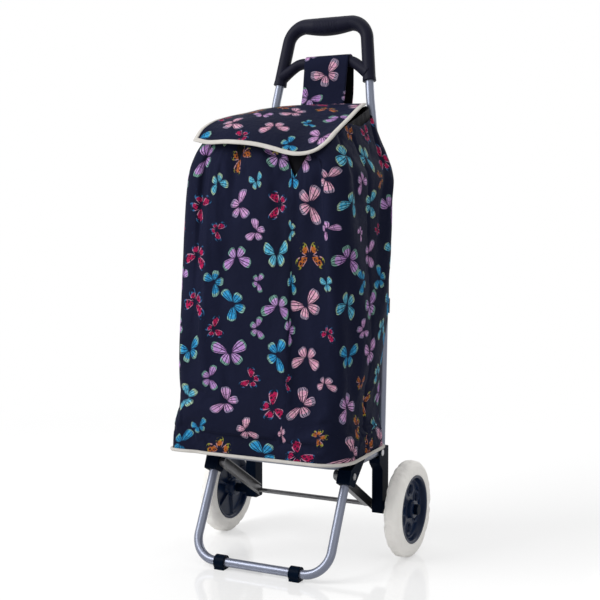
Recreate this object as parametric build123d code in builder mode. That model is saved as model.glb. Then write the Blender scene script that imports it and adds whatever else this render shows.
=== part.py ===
from build123d import *
import os
from math import atan, atan2, cos, hypot, sin

# Folding two-wheeled shopping trolley, in millimetres. +X is the right of someone who faces its
# front, the front looks along -Y, and it stands on z = 0 on two wheels and a fold-out leg.

os.makedirs("parts", exist_ok=True)

# Clearances
running_gap = 0.05       # radial, pin in hole
pass_gap = 0.3           # between pieces that only pass each other
seat_gap = 0.3           # between a soft piece and what carries it

# Wheels and axle
tyre_radius = 82.5
tyre_width = 28
tyre_round = 10          # rounding of the tread's shoulders
bead_height = 12         # straight sides of the tyre where it sits on the rim
rim_radius = 58
rim_width = 27
rim_wall = 4
web_thickness = 5
web_recess = 11          # from the rim's outer face to the web
hub_radius = 15
hub_width = 34
spoke_count = 6
spoke_hole_radius = 11
spoke_hole_ring = 36
spoke_hole_depth = 3     # of its blind pockets in the web
bush_radius = 8
axle_radius = 4
wheel_middle = 179.5     # from the trolley's middle to each tyre's middle
cap_radius = 9
cap_length = 5
spacer_radius = 8

# Tubes of the frame
tube_radius = 7.5
tube_wall = 1.2
frame_half = 125.5       # middle of each upright and each platform side tube
tube_overrun = 4.5       # of a pivoted tube end past its pin
pin_radius = 3
rivet_head_radius = 5.5
rivet_head = 1.6

# Uprights, with distances behind the axle
upright_behind = 8
upright_low_z = 100
upright_bend_z = 195
upright_waist_z = 510
upright_waist_behind = 22
bend_low_radius = 260
bend_waist_radius = 260
bend_top_radius = 120

# Handle
handle_behind = 38       # behind the axle, at the foot of its legs
handle_z = 817           # foot of its legs
handle_lean = 0.19       # backwards, per unit of height
handle_taper = 0.14      # inwards, per unit of its own height
handle_half = 87.8       # middle of each leg, at its foot
handle_height = 107      # up to the middle of the top bar's ends
handle_corner = 34
handle_leg_radius = 11.3
grip_end_radius = 13.4
grip_radius = 16.2
grip_half = 46           # from the middle to where the grip's swelling ends
crossbar_radius = 9.6
crossbar_height = 38     # middle of the crossbar above the legs' feet
crossbar_half = 52       # its straight top
crossbar_drop = 24
crossbar_corner = 30
socket_depth = 30

# Platform and the brackets that carry it, with distances from the axle
platform_z = 177.5
platform_reach = 140     # forward, to the middle of its front bar
platform_corner = 34
platform_pivot_ahead = 10.5
bracket_width = 20
bracket_front = 7
bracket_back = 18.5
bracket_base_z = 69
bracket_top_z = 186
bracket_nose = 20
bracket_nose_z = 160
bracket_throat_z = 146
bracket_round = 3

# Leg, struts and the brackets that hold them
leg_half = 124
leg_pivot_ahead = 131
leg_pivot_z = 160.5
foot_reach = 206.5       # forward, to the middle of the foot bar
foot_z = 12
leg_corner = 42
leg_bracket_inner = 113.5
leg_bracket_outer = 137
leg_bracket_top_z = 187
leg_bracket_round = 2.5
clip_radius = 11.5
clip_length = 18
clip_spacing = 139
clip_foot_width = 17
strut_width = 16
strut_depth = 10
strut_sheet = 1.5
strut_overrun = 9
notch_flare = 5

# Bag, with distances from the axle
fabric = 2
bag_half = 154
bag_foot_half = 148
bag_shoulder_half = 148
bag_top_half = 91
bag_low_z = 300
bag_shoulder_z = 648
bag_front = 206
bag_foot_front = 202
bag_shoulder_front = 196
bag_top_front = 160
bag_corner = 16
bag_back_gap = 5.5       # from the uprights to the back panel
bag_seam = 18            # width of the corner that goes with the front and back panels
board_thickness = 3
board_margin = 4
bag_piping = 5
bag_piping_height = 7
collar_height = 34
collar_fabric = 1
eyelet_radius = 6
eyelet_hole_radius = 3
eyelet_height = 2
eyelet_spacing = 40
webbing_z = 430
webbing_height = 25
webbing_fabric = 1.5

# Flap and hanging tab
flap_behind = 19.5       # hinge line behind the axle
flap_hinge_z = 776
flap_slope = 0.36
flap_fabric = 3
flap_back_half = 84
flap_left_half = 124
flap_right_half = 112
flap_left_length = 231
flap_right_length = 190
flap_tip_length = 246
flap_tip_x = 64
flap_left_corner = 10
flap_right_corner = 46
binding_width = 9
tab_half = 46
tab_fabric = 2
tab_foot_z = 738
tab_foot_gap = 0.5
tab_slit = 1             # between the tab's two plies at its sewn foot

# The axle's place puts the middle of the whole trolley's depth at y = 0.
axle_y = (foot_reach + clip_radius - tyre_radius) / 2
axle_z = tyre_radius
floor_z = 0
hinge_y = axle_y + flap_behind
pivot_y = axle_y - platform_pivot_ahead
leg_pivot_y = axle_y - leg_pivot_ahead
foot_y = axle_y - foot_reach
bag_foot_z = leg_bracket_top_z + seat_gap
pin_hole_radius = pin_radius + running_gap
bracket_inner = frame_half - bracket_width / 2
bracket_outer = frame_half + bracket_width / 2

# The handle lies in one leaning plane: its local x is the trolley's X, its local y runs up the legs.
lean_angle = atan(handle_lean)
handle_plane = Plane(
    origin=(0, axle_y + handle_behind, handle_z),
    x_dir=(1, 0, 0),
    z_dir=(0, -cos(lean_angle), sin(lean_angle)),
)


def save(piece, label):
    piece.label = label
    export_step(piece, f"parts/{label}.step")


def save_pair(piece, label):
    save(piece, f"{label}_right")
    save(mirror(piece, about=Plane.YZ), f"{label}_left")


def side_plane(x):
    return Plane.YZ.offset(x)


def handle_point(x, height):
    return handle_plane.from_local_coords((x, height, 0))


# Uprights

upright_run = 33         # straight length below the handle
upright_top = handle_point(handle_half - handle_taper * (socket_depth - 1), socket_depth - 1)
upright_neck = handle_point(handle_half + handle_taper * upright_run, -upright_run)
upright_waist = Vector(frame_half, axle_y + upright_waist_behind, upright_waist_z)
upright_points = [
    Vector(frame_half, axle_y + upright_behind, upright_low_z),
    Vector(frame_half, axle_y + upright_behind, upright_bend_z),
    upright_waist,
    upright_neck,
    upright_top,
]


def upright_at(z):
    for low, high in zip(upright_points, upright_points[1:]):
        if z <= high.Z:
            break
    return low + (high - low) * ((z - low.Z) / (high.Z - low.Z))


with BuildPart() as upright:
    with BuildLine() as upright_route:
        FilletPolyline(*upright_points, radius=[bend_low_radius, bend_waist_radius, bend_top_radius])
    with BuildSketch(Plane(origin=upright_route.line @ 0, z_dir=upright_route.line % 0)):
        Circle(tube_radius)
        Circle(tube_radius - tube_wall, mode=Mode.SUBTRACT)
    sweep(path=upright_route.line)
save_pair(upright.part, "upright_tube")


# Handle

leg_inset = handle_taper * handle_height
corner_x = handle_half - leg_inset
with BuildPart() as handle:
    with BuildLine(handle_plane) as loop_route:
        FilletPolyline(
            (-handle_half, 0),
            (-corner_x, handle_height),
            (corner_x, handle_height),
            (handle_half, 0),
            radius=handle_corner,
        )
    with BuildSketch(Plane(origin=loop_route.line @ 0, z_dir=loop_route.line % 0)):
        Circle(handle_leg_radius)
    sweep(path=loop_route.line)
    crossbar_end = handle_half - handle_taper * (crossbar_height - crossbar_drop)
    with BuildLine(handle_plane) as crossbar_route:
        FilletPolyline(
            (-crossbar_end, crossbar_height - crossbar_drop),
            (-crossbar_half, crossbar_height),
            (crossbar_half, crossbar_height),
            (crossbar_end, crossbar_height - crossbar_drop),
            radius=crossbar_corner,
        )
    with BuildSketch(Plane(origin=crossbar_route.line @ 0, z_dir=crossbar_route.line % 0)):
        Circle(crossbar_radius)
    sweep(path=crossbar_route.line)
    # The grip swells downwards: its top stays level while its radius grows.
    grip_top = handle_height + grip_end_radius
    grip_stations = [-grip_half, -grip_half / 2, 0, grip_half / 2, grip_half]
    for station in grip_stations:
        swell = (grip_radius - grip_end_radius) * (1 - (station / grip_half) ** 2)
        radius = grip_end_radius + swell
        with BuildSketch(Plane(handle_point(station, grip_top - radius), z_dir=(1, 0, 0))):
            Circle(radius)
    loft()
    for side in (-1, 1):
        foot = handle_point(side * handle_half, 0)
        top = handle_point(side * (handle_half - handle_taper * socket_depth), socket_depth)
        with BuildSketch(Plane(origin=foot, z_dir=top - foot)):
            Circle(tube_radius + running_gap)
        extrude(amount=socket_depth, mode=Mode.SUBTRACT)
save(handle.part, "handle_moulding")


# Rivets that hold the uprights in the handle's sockets, seen as heads on its rear.

rivet_height = socket_depth / 2
with BuildPart() as handle_rivets:
    for side in (-1, 1):
        rivet_x = side * (handle_half - handle_taper * rivet_height)
        rivet_plane = Plane(handle_point(rivet_x, rivet_height), z_dir=-handle_plane.z_dir)
        with BuildSketch(rivet_plane.offset(handle_leg_radius + running_gap)):
            Circle(pin_radius)
        extrude(amount=rivet_head)
save(handle_rivets.part, "handle_rivets")


# Wheel brackets: a socket for the upright, a bore for the axle and a clevis for the platform

clevis_half = tube_radius + pass_gap
clevis_reach = hypot(tube_radius, tube_overrun) + pass_gap
bracket_profile = [
    (axle_y - bracket_front, bracket_base_z),
    (axle_y - bracket_front, bracket_throat_z),
    (axle_y - bracket_nose, bracket_nose_z),
    (axle_y - bracket_nose, bracket_top_z),
    (axle_y + bracket_back, bracket_top_z),
    (axle_y + bracket_back, bracket_base_z),
]
with BuildPart() as wheel_bracket:
    with BuildSketch(side_plane(bracket_inner)):
        with BuildLine():
            Polyline(*bracket_profile, close=True)
        make_face()
        fillet(vertices(), bracket_round)
    extrude(amount=bracket_width)
    with BuildSketch(Plane.XY.offset(upright_low_z)):
        with Locations((frame_half, axle_y + upright_behind)):
            Circle(tube_radius + running_gap)
    extrude(amount=bracket_top_z - upright_low_z, mode=Mode.SUBTRACT)
    with BuildSketch(side_plane(frame_half)):
        with BuildLine():
            Polyline(
                (pivot_y + clevis_reach, platform_z - clevis_reach),
                (pivot_y + clevis_reach, bracket_top_z + 1),
                (axle_y - bracket_nose - 1, bracket_top_z + 1),
                (axle_y - bracket_nose - 1, platform_z - clevis_reach),
                close=True,
            )
        make_face()
    extrude(amount=clevis_half, both=True, mode=Mode.SUBTRACT)
    with BuildSketch(side_plane(bracket_inner)):
        with Locations((pivot_y, platform_z)):
            Circle(pin_hole_radius)
        with Locations((axle_y, axle_z)):
            Circle(axle_radius + running_gap)
    extrude(amount=bracket_width, mode=Mode.SUBTRACT)
save_pair(wheel_bracket.part, "wheel_bracket")


def rivet_pair(inner_x, outer_x, y, z):
    with BuildPart() as rivets:
        with BuildSketch(side_plane(inner_x)):
            with Locations((y, z)):
                Circle(pin_radius)
        extrude(amount=outer_x - inner_x)
        for head_x in (inner_x - rivet_head, outer_x):
            with BuildSketch(side_plane(head_x)):
                with Locations((y, z)):
                    Circle(rivet_head_radius)
            extrude(amount=rivet_head)
        mirror(about=Plane.YZ)
    return rivets.part


platform_pins = rivet_pair(bracket_inner - running_gap, bracket_outer + running_gap, pivot_y, platform_z)
save(platform_pins, "platform_pivot_pins")


# Axle, its spacers and end caps

rim_outer_x = wheel_middle + rim_width / 2
hub_outer_x = rim_outer_x
hub_inner_x = hub_outer_x - hub_width
axle_half = hub_outer_x + cap_length
with BuildPart() as axle:
    with BuildSketch(side_plane(-axle_half)):
        with Locations((axle_y, axle_z)):
            Circle(axle_radius)
    extrude(amount=2 * axle_half)
save(axle.part, "axle")

with BuildPart() as spacers:
    with BuildSketch(side_plane(bracket_outer)):
        with Locations((axle_y, axle_z)):
            Circle(spacer_radius)
            Circle(axle_radius + running_gap, mode=Mode.SUBTRACT)
    extrude(amount=hub_inner_x - pass_gap - bracket_outer)
    mirror(about=Plane.YZ)
save(spacers.part, "axle_spacers")

with BuildPart() as caps:
    with BuildSketch(side_plane(hub_outer_x + pass_gap)):
        with Locations((axle_y, axle_z)):
            Circle(cap_radius)
    extrude(amount=cap_length + rivet_head)
    with BuildSketch(side_plane(hub_outer_x + pass_gap)):
        with Locations((axle_y, axle_z)):
            Circle(axle_radius + running_gap)
    extrude(amount=axle_half - hub_outer_x, mode=Mode.SUBTRACT)
    fillet(edges().group_by(Axis.X)[-1], rivet_head)
    mirror(about=Plane.YZ)
save(caps.part, "axle_caps")


# Wheels

wheel_plane = Plane(origin=(0, axle_y, axle_z), x_dir=(1, 0, 0), z_dir=(0, -1, 0))
wheel_axis = Axis((0, axle_y, axle_z), (1, 0, 0))
with BuildPart() as tyre:
    with BuildSketch(wheel_plane):
        tread_middle = (rim_radius + tyre_radius) / 2
        with Locations((wheel_middle, tread_middle)):
            RectangleRounded(tyre_width, tyre_radius - rim_radius, tyre_round)
        with Locations((wheel_middle, rim_radius)):
            Rectangle(tyre_width, bead_height, align=(Align.CENTER, Align.MIN))
            Rectangle(tyre_width, 2 * running_gap, mode=Mode.SUBTRACT)
    revolve(axis=wheel_axis)
save_pair(tyre.part, "tyre")

with BuildPart() as rim:
    with BuildSketch(wheel_plane):
        with Locations((wheel_middle, rim_radius - rim_wall / 2)):
            Rectangle(rim_width, rim_wall)
        with Locations((rim_outer_x - web_recess, 0)):
            Rectangle(web_thickness, rim_radius - rim_wall / 2, align=(Align.MAX, Align.MIN))
        with Locations((hub_outer_x, 0)):
            Rectangle(hub_width, hub_radius, align=(Align.MAX, Align.MIN))
    revolve(axis=wheel_axis)
    with BuildSketch(side_plane(rim_outer_x)):
        with Locations((axle_y, axle_z)):
            with PolarLocations(spoke_hole_ring, spoke_count):
                Circle(spoke_hole_radius)
    extrude(amount=-web_recess - spoke_hole_depth, mode=Mode.SUBTRACT)
    with BuildSketch(side_plane(rim_outer_x)):
        with Locations((axle_y, axle_z)):
            Circle(bush_radius + running_gap)
    extrude(amount=-hub_width, mode=Mode.SUBTRACT)
save_pair(rim.part, "wheel_rim")

with BuildPart() as bush:
    with BuildSketch(side_plane(hub_inner_x)):
        with Locations((axle_y, axle_z)):
            Circle(bush_radius)
            Circle(axle_radius + running_gap, mode=Mode.SUBTRACT)
    extrude(amount=hub_width)
save_pair(bush.part, "wheel_bush")


# Platform: a U of tube pinned between the wheel brackets

platform_points = [
    (frame_half, pivot_y + tube_overrun),
    (frame_half, axle_y - platform_reach),
    (-frame_half, axle_y - platform_reach),
    (-frame_half, pivot_y + tube_overrun),
]
with BuildPart() as platform:
    with BuildLine(Plane.XY.offset(platform_z)) as platform_route:
        FilletPolyline(*platform_points, radius=platform_corner)
    with BuildSketch(Plane(origin=platform_route.line @ 0, z_dir=platform_route.line % 0)):
        Circle(tube_radius)
        Circle(tube_radius - tube_wall, mode=Mode.SUBTRACT)
    sweep(path=platform_route.line)
    with BuildSketch(side_plane(-bracket_outer)):
        with Locations((pivot_y, platform_z)):
            Circle(pin_hole_radius)
    extrude(amount=2 * bracket_outer, mode=Mode.SUBTRACT)
save(platform.part, "platform_tube")


# Leg: a U of tube in a plane that leans forwards, pinned under the platform

leg_run = hypot(foot_reach - leg_pivot_ahead, leg_pivot_z - foot_z)
leg_lean = atan2(foot_reach - leg_pivot_ahead, leg_pivot_z - foot_z)
leg_down = Vector(0, -sin(leg_lean), -cos(leg_lean))
leg_ahead = Vector(0, -cos(leg_lean), sin(leg_lean))
leg_plane = Plane(origin=(0, leg_pivot_y, leg_pivot_z), x_dir=(1, 0, 0), z_dir=leg_ahead)
with BuildPart() as leg:
    with BuildLine(leg_plane) as leg_route:
        FilletPolyline(
            (leg_half, tube_overrun),
            (leg_half, -leg_run),
            (-leg_half, -leg_run),
            (-leg_half, tube_overrun),
            radius=leg_corner,
        )
    with BuildSketch(Plane(origin=leg_route.line @ 0, z_dir=leg_route.line % 0)):
        Circle(tube_radius)
        Circle(tube_radius - tube_wall, mode=Mode.SUBTRACT)
    sweep(path=leg_route.line)
    with BuildSketch(side_plane(-leg_bracket_outer)):
        with Locations((leg_pivot_y, leg_pivot_z)):
            Circle(pin_hole_radius)
    extrude(amount=2 * leg_bracket_outer, mode=Mode.SUBTRACT)
save(leg.part, "leg_tube")

with BuildPart() as clip:
    with BuildSketch(side_plane((clip_spacing - clip_length) / 2)):
        with Locations((foot_y, foot_z)):
            Circle(clip_radius)
        with Locations((foot_y, floor_z)):
            Rectangle(clip_foot_width, foot_z, align=(Align.CENTER, Align.MIN))
        with Locations((foot_y, foot_z)):
            Circle(tube_radius + running_gap, mode=Mode.SUBTRACT)
    extrude(amount=clip_length)
save_pair(clip.part, "foot_clip")


# Leg brackets: a block on the platform's side tube, slotted for the leg

leg_bracket_profile = [
    (leg_pivot_y + 51, leg_bracket_top_z),
    (leg_pivot_y + 22, leg_bracket_top_z),
    (leg_pivot_y - 10, leg_pivot_z + 12),
    (leg_pivot_y - 19, leg_pivot_z - 9),
    (leg_pivot_y + 1, leg_pivot_z - 19),
]
slot_half = tube_radius + pass_gap
slot_front = clevis_reach * leg_ahead
slot_start = Vector(0, leg_pivot_y, leg_pivot_z) + slot_front - 2 * slot_half * leg_down
slot_end = Vector(0, leg_pivot_y, leg_pivot_z) + slot_front + 3 * leg_bracket_outer / 4 * leg_down
slot_back_y = leg_pivot_y + 2 * leg_run
with BuildPart() as leg_bracket:
    with BuildSketch(side_plane(leg_bracket_inner)):
        with BuildLine():
            Polyline(*leg_bracket_profile, close=True)
        make_face()
        fillet(vertices(), leg_bracket_round)
    extrude(amount=leg_bracket_outer - leg_bracket_inner)
    with BuildSketch(side_plane(leg_half)):
        with BuildLine():
            Polyline(
                (slot_start.Y, slot_start.Z),
                (slot_end.Y, slot_end.Z),
                (slot_back_y, slot_end.Z),
                (slot_back_y, slot_start.Z),
                close=True,
            )
        make_face()
        with Locations((leg_pivot_y, platform_z + leg_run)):
            Rectangle(4 * leg_run, 2 * leg_run, mode=Mode.SUBTRACT)
    extrude(amount=slot_half, both=True, mode=Mode.SUBTRACT)
    with BuildSketch(side_plane(leg_bracket_inner)):
        with Locations((leg_pivot_y, leg_pivot_z)):
            Circle(pin_hole_radius)
    extrude(amount=leg_bracket_outer - leg_bracket_inner, mode=Mode.SUBTRACT)
    with BuildLine(Plane.XY.offset(platform_z)) as bored_route:
        FilletPolyline(*platform_points, radius=platform_corner)
    with BuildSketch(Plane(origin=bored_route.line @ 0, z_dir=bored_route.line % 0)):
        Circle(tube_radius + running_gap)
    sweep(path=bored_route.line, mode=Mode.SUBTRACT)
save_pair(leg_bracket.part, "leg_bracket")

strut_outer = leg_bracket_inner - pass_gap
strut_web = strut_outer - strut_sheet
leg_pins = rivet_pair(strut_web - pass_gap, leg_bracket_outer + running_gap, leg_pivot_y, leg_pivot_z)
save(leg_pins, "leg_pivot_pins")


# Struts: pressed channels from the leg's pin to a notch over the axle

strut_drop = leg_pivot_z - axle_z
strut_run = hypot(leg_pivot_ahead, strut_drop)
strut_along = Vector(0, leg_pivot_ahead / strut_run, -strut_drop / strut_run)
strut_plane = Plane(
    origin=(strut_outer, leg_pivot_y, leg_pivot_z),
    x_dir=strut_along,
    z_dir=(-1, 0, 0),
)
notch_half = axle_radius + pass_gap
flange_end = strut_run - 3 * axle_radius
with BuildPart() as strut:
    with BuildSketch(strut_plane):
        with Locations((strut_run / 2, 0)):
            SlotCenterToCenter(strut_run, strut_width)
        with Locations((strut_run, 0)):
            Rectangle(strut_overrun, strut_width, align=(Align.MIN, Align.CENTER))
    extrude(amount=strut_sheet)
    with BuildSketch(strut_plane.offset(strut_sheet)):
        with Locations((flange_end / 2, 0)):
            SlotCenterToCenter(flange_end, strut_width)
            SlotCenterToCenter(flange_end, strut_width - 2 * strut_sheet, mode=Mode.SUBTRACT)
        with Locations((flange_end, 0)):
            Rectangle(strut_width, strut_width, align=(Align.MIN, Align.CENTER), mode=Mode.SUBTRACT)
    extrude(amount=strut_depth - strut_sheet)
    with BuildSketch(strut_plane):
        Circle(pin_hole_radius)
        with Locations((strut_run, 0)):
            Circle(notch_half)
        with BuildLine():
            Polyline(
                (strut_run, notch_half),
                (strut_run, -notch_half),
                (strut_run + 2 * strut_overrun, -notch_half - 2 * notch_flare),
                (strut_run + 2 * strut_overrun, notch_half + 2 * notch_flare),
                close=True,
            )
        make_face()
    extrude(amount=strut_depth, mode=Mode.SUBTRACT)
save_pair(strut.part, "strut")


# Bag: sewn panels over one lofted outline

def bag_back_at(z):
    return upright_at(z).Y - tube_radius - bag_back_gap


bag_top_z = flap_hinge_z + fabric
bag_levels = [
    (bag_foot_z, bag_foot_half, axle_y - bag_foot_front),
    (bag_low_z, bag_half, axle_y - bag_front),
    (upright_waist_z, bag_half, axle_y - bag_front),
    (bag_shoulder_z, bag_shoulder_half, axle_y - bag_shoulder_front),
    (bag_top_z, bag_top_half, axle_y - bag_top_front),
]


def bag_outline(z, half, front, inset):
    back = bag_back_at(z)
    with BuildSketch(Plane.XY.offset(z)) as outline:
        with Locations((0, (front + back) / 2)):
            RectangleRounded(2 * (half - inset), back - front - 2 * inset, bag_corner - inset)
    return outline.sketch


def bag_solid(inset):
    with BuildPart() as body:
        for z, half, front in bag_levels:
            add(bag_outline(z, half, front, inset))
        loft(ruled=True)
    return body.part


flap_angle = atan(flap_slope)
flap_plane = Plane(
    origin=(0, hinge_y, flap_hinge_z),
    x_dir=(1, 0, 0),
    z_dir=(0, -sin(flap_angle), cos(flap_angle)),
)
mouth_plane = flap_plane.offset(-flap_fabric / 2 - seat_gap)
floor_plane = Plane.XY.offset(bag_foot_z + fabric)
bag_outer = bag_solid(0)
bag_inner = bag_solid(fabric)

with BuildPart() as bag_bottom:
    add(bag_outer)
    split(bisect_by=floor_plane, keep=Keep.BOTTOM)
save(bag_bottom.part, "bag_bottom_panel")

with BuildPart() as bag_walls:
    add(bag_outer)
    split(bisect_by=floor_plane, keep=Keep.TOP)
    split(bisect_by=mouth_plane, keep=Keep.BOTTOM)
    add(bag_inner, mode=Mode.SUBTRACT)

front_seam = Plane(origin=(0, axle_y - bag_front + bag_seam, 0), z_dir=(0, -1, 0))
back_low = Vector(0, bag_back_at(bag_foot_z) - bag_seam, bag_foot_z)
back_high = Vector(0, bag_back_at(bag_top_z) - bag_seam, bag_top_z)
back_rise = back_high - back_low
back_seam = Plane(origin=back_low, x_dir=(1, 0, 0), z_dir=(0, back_rise.Z, -back_rise.Y))

corner_start = side_plane(bag_foot_half - bag_corner)
shoulder = Plane.XY.offset(bag_shoulder_z)
with BuildPart() as bag_front_corner:
    add(bag_walls.part)
    split(bisect_by=front_seam, keep=Keep.TOP)
    split(bisect_by=corner_start, keep=Keep.TOP)
    split(bisect_by=shoulder, keep=Keep.BOTTOM)
save_pair(bag_front_corner.part, "bag_front_corner")

with BuildPart() as bag_front_yoke:
    add(bag_walls.part)
    split(bisect_by=front_seam, keep=Keep.TOP)
    split(bisect_by=shoulder, keep=Keep.TOP)
save(bag_front_yoke.part, "bag_front_yoke")

with BuildPart() as bag_front_panel:
    add(bag_walls.part)
    split(bisect_by=front_seam, keep=Keep.TOP)
    split(bisect_by=shoulder, keep=Keep.BOTTOM)
    add(bag_front_corner.part, mode=Mode.SUBTRACT)
    add(mirror(bag_front_corner.part, about=Plane.YZ), mode=Mode.SUBTRACT)
save(bag_front_panel.part, "bag_front_panel")

with BuildPart() as bag_back_panel:
    add(bag_walls.part)
    split(bisect_by=back_seam, keep=Keep.TOP)
save(bag_back_panel.part, "bag_back_panel")

with BuildPart() as bag_side_panel:
    add(bag_walls.part)
    split(bisect_by=front_seam, keep=Keep.BOTTOM)
    split(bisect_by=back_seam, keep=Keep.BOTTOM)
    split(bisect_by=Plane.YZ, keep=Keep.TOP)
save_pair(bag_side_panel.part, "bag_side_panel")

board_z = bag_foot_z + fabric + seat_gap
foot_back = bag_back_at(bag_foot_z)
foot_front = axle_y - bag_foot_front
foot_middle = (foot_back + foot_front) / 2
foot_depth = foot_back - foot_front
with BuildPart() as base_board:
    with BuildSketch(Plane.XY.offset(board_z)):
        with Locations((0, foot_middle)):
            RectangleRounded(
                2 * (bag_foot_half - board_margin),
                foot_depth - 2 * board_margin,
                bag_corner - board_margin,
            )
    extrude(amount=board_thickness)
save(base_board.part, "bag_base_board")

with BuildPart() as foot_piping:
    with BuildSketch(Plane.XY.offset(bag_foot_z)):
        with Locations((0, foot_middle)):
            RectangleRounded(
                2 * (bag_foot_half + bag_piping),
                foot_depth + 2 * bag_piping,
                bag_corner + bag_piping,
            )
    extrude(amount=bag_piping_height)
    add(bag_outer, mode=Mode.SUBTRACT)
save(foot_piping.part, "bag_bottom_piping")

collar_low = mouth_plane.offset(-collar_height)
with BuildPart() as collar:
    add(bag_solid(fabric + seat_gap))
    split(bisect_by=mouth_plane, keep=Keep.BOTTOM)
    split(bisect_by=collar_low, keep=Keep.TOP)
    add(bag_solid(fabric + seat_gap + collar_fabric), mode=Mode.SUBTRACT)
save(collar.part, "bag_collar")


# Eyelets for the drawstring, pressed on the inside of the collar's front

mouth_front_z = flap_hinge_z - flap_slope * (flap_behind + bag_shoulder_front)
eyelet_z = mouth_front_z - collar_height / 2
rise = (eyelet_z - bag_shoulder_z) / (bag_top_z - bag_shoulder_z)
eyelet_front = axle_y - bag_shoulder_front + rise * (bag_shoulder_front - bag_top_front)
eyelet_inset = fabric + seat_gap + collar_fabric + running_gap
eyelet_tilt = Vector(0, bag_top_z - bag_shoulder_z, bag_top_front - bag_shoulder_front)
eyelet_plane = Plane(
    origin=(0, eyelet_front + eyelet_inset * hypot(eyelet_tilt.Y, eyelet_tilt.Z) / eyelet_tilt.Y, eyelet_z),
    x_dir=(1, 0, 0),
    z_dir=eyelet_tilt,
)
with BuildPart() as eyelets:
    with BuildSketch(eyelet_plane):
        with GridLocations(eyelet_spacing, 1, 2, 1):
            Circle(eyelet_radius)
            Circle(eyelet_hole_radius, mode=Mode.SUBTRACT)
    extrude(amount=eyelet_height)
save(eyelets.part, "collar_eyelets")


# Webbing loops that hold the bag's back to the uprights

loop_middle = upright_at(webbing_z)
loop_axis = (upright_waist - upright_points[1]).normalized()
loop_plane = Plane(origin=loop_middle, x_dir=(1, 0, 0), z_dir=loop_axis)
loop_bore = tube_radius + seat_gap
loop_face = tube_radius + bag_back_gap - seat_gap
with BuildPart() as webbing:
    with BuildSketch(loop_plane.offset(-webbing_height / 2)):
        Circle(loop_bore + webbing_fabric)
        with Locations((0, -loop_bore)):
            Rectangle(4 * loop_bore, loop_face - loop_bore, align=(Align.CENTER, Align.MAX))
        Circle(loop_bore, mode=Mode.SUBTRACT)
    extrude(amount=webbing_height)
save_pair(webbing.part, "webbing_loop")


# Flap: a panel edged with binding on its three free sides

def flap_shape(back, inset):
    with BuildSketch(flap_plane.offset(-flap_fabric / 2)) as shape:
        with BuildLine():
            Polyline(
                (-flap_back_half, back),
                (-flap_left_half, -flap_left_length),
                (flap_tip_x, -flap_tip_length),
                (flap_right_half, -flap_right_length),
                (flap_back_half, back),
                close=True,
            )
        make_face()
        fillet(vertices().sort_by(Axis.X)[0], flap_left_corner)
        fillet(vertices().sort_by(Axis.X)[-1], flap_right_corner)
        offset(amount=-inset)
    return shape.sketch


with BuildPart() as flap_whole:
    add(flap_shape(0, 0))
    extrude(amount=flap_fabric)

with BuildPart() as flap_panel:
    add(flap_shape(binding_width, binding_width))
    extrude(amount=flap_fabric)
    add(flap_whole.part, mode=Mode.INTERSECT)
save(flap_panel.part, "flap_panel")

with BuildPart() as binding:
    add(flap_whole.part)
    add(flap_panel.part, mode=Mode.SUBTRACT)
save(binding.part, "flap_binding")


# Hanging tab: a loop of fabric from the bag's back over the crossbar

crossbar_middle = handle_point(0, crossbar_height)
tab_bore = crossbar_radius + seat_gap
tab_foot_y = bag_back_at(tab_foot_z) + tab_foot_gap + tab_fabric + tab_slit / 2


tab_foot = Vector(0, tab_foot_y, tab_foot_z)
tab_rise = (Vector(0, crossbar_middle.Y, crossbar_middle.Z) - tab_foot).normalized()
tab_across = tab_rise.rotate(Axis.X, 90)


def tab_shape(radius, foot_half, foot_up):
    top = Vector(0, crossbar_middle.Y, crossbar_middle.Z)
    foot = tab_foot + foot_up * tab_rise
    corners = [
        top + radius * tab_across,
        top - radius * tab_across,
        foot - foot_half * tab_across,
        foot + foot_half * tab_across,
    ]
    with BuildSketch(side_plane(-tab_half)) as shape:
        with BuildLine():
            Polyline(*[(corner.Y, corner.Z) for corner in corners], close=True)
        make_face()
        with Locations((crossbar_middle.Y, crossbar_middle.Z)):
            Circle(radius)
    return shape.sketch


with BuildPart() as hanging_tab:
    outer = tab_shape(tab_bore + tab_fabric, tab_slit / 2 + tab_fabric, 0)
    extrude(outer, amount=2 * tab_half, dir=(1, 0, 0))
    inner = tab_shape(tab_bore, tab_slit / 2, tab_fabric)
    extrude(inner, amount=2 * tab_half, dir=(1, 0, 0), mode=Mode.SUBTRACT)
save(hanging_tab.part, "hanging_tab")
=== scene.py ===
import math

import bpy
import numpy as np
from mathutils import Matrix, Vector, noise
from mathutils.bvhtree import BVHTree


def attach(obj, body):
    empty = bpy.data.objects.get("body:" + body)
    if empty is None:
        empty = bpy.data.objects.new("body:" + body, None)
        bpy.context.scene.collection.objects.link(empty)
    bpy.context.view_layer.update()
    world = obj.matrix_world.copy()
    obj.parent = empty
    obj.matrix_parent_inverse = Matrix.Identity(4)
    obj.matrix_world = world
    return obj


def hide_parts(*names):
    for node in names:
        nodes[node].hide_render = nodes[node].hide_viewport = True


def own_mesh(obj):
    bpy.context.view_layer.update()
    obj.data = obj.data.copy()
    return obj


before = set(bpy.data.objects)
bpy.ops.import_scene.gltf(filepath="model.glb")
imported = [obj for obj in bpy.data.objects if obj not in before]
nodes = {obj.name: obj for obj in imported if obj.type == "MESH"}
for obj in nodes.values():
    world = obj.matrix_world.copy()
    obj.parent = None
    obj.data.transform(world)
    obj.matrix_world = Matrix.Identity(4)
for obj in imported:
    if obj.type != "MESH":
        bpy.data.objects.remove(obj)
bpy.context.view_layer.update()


# Camera

view = {
    "place": (0.87435, -1.70635, 0.58279),
    "turn": (85.736, 0, 26.96),
    "lens": 67.386,
    "film": 36,
}


def addObject(name, data):
    made = bpy.data.objects.new(name, data)
    bpy.context.scene.collection.objects.link(made)
    return made


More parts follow.
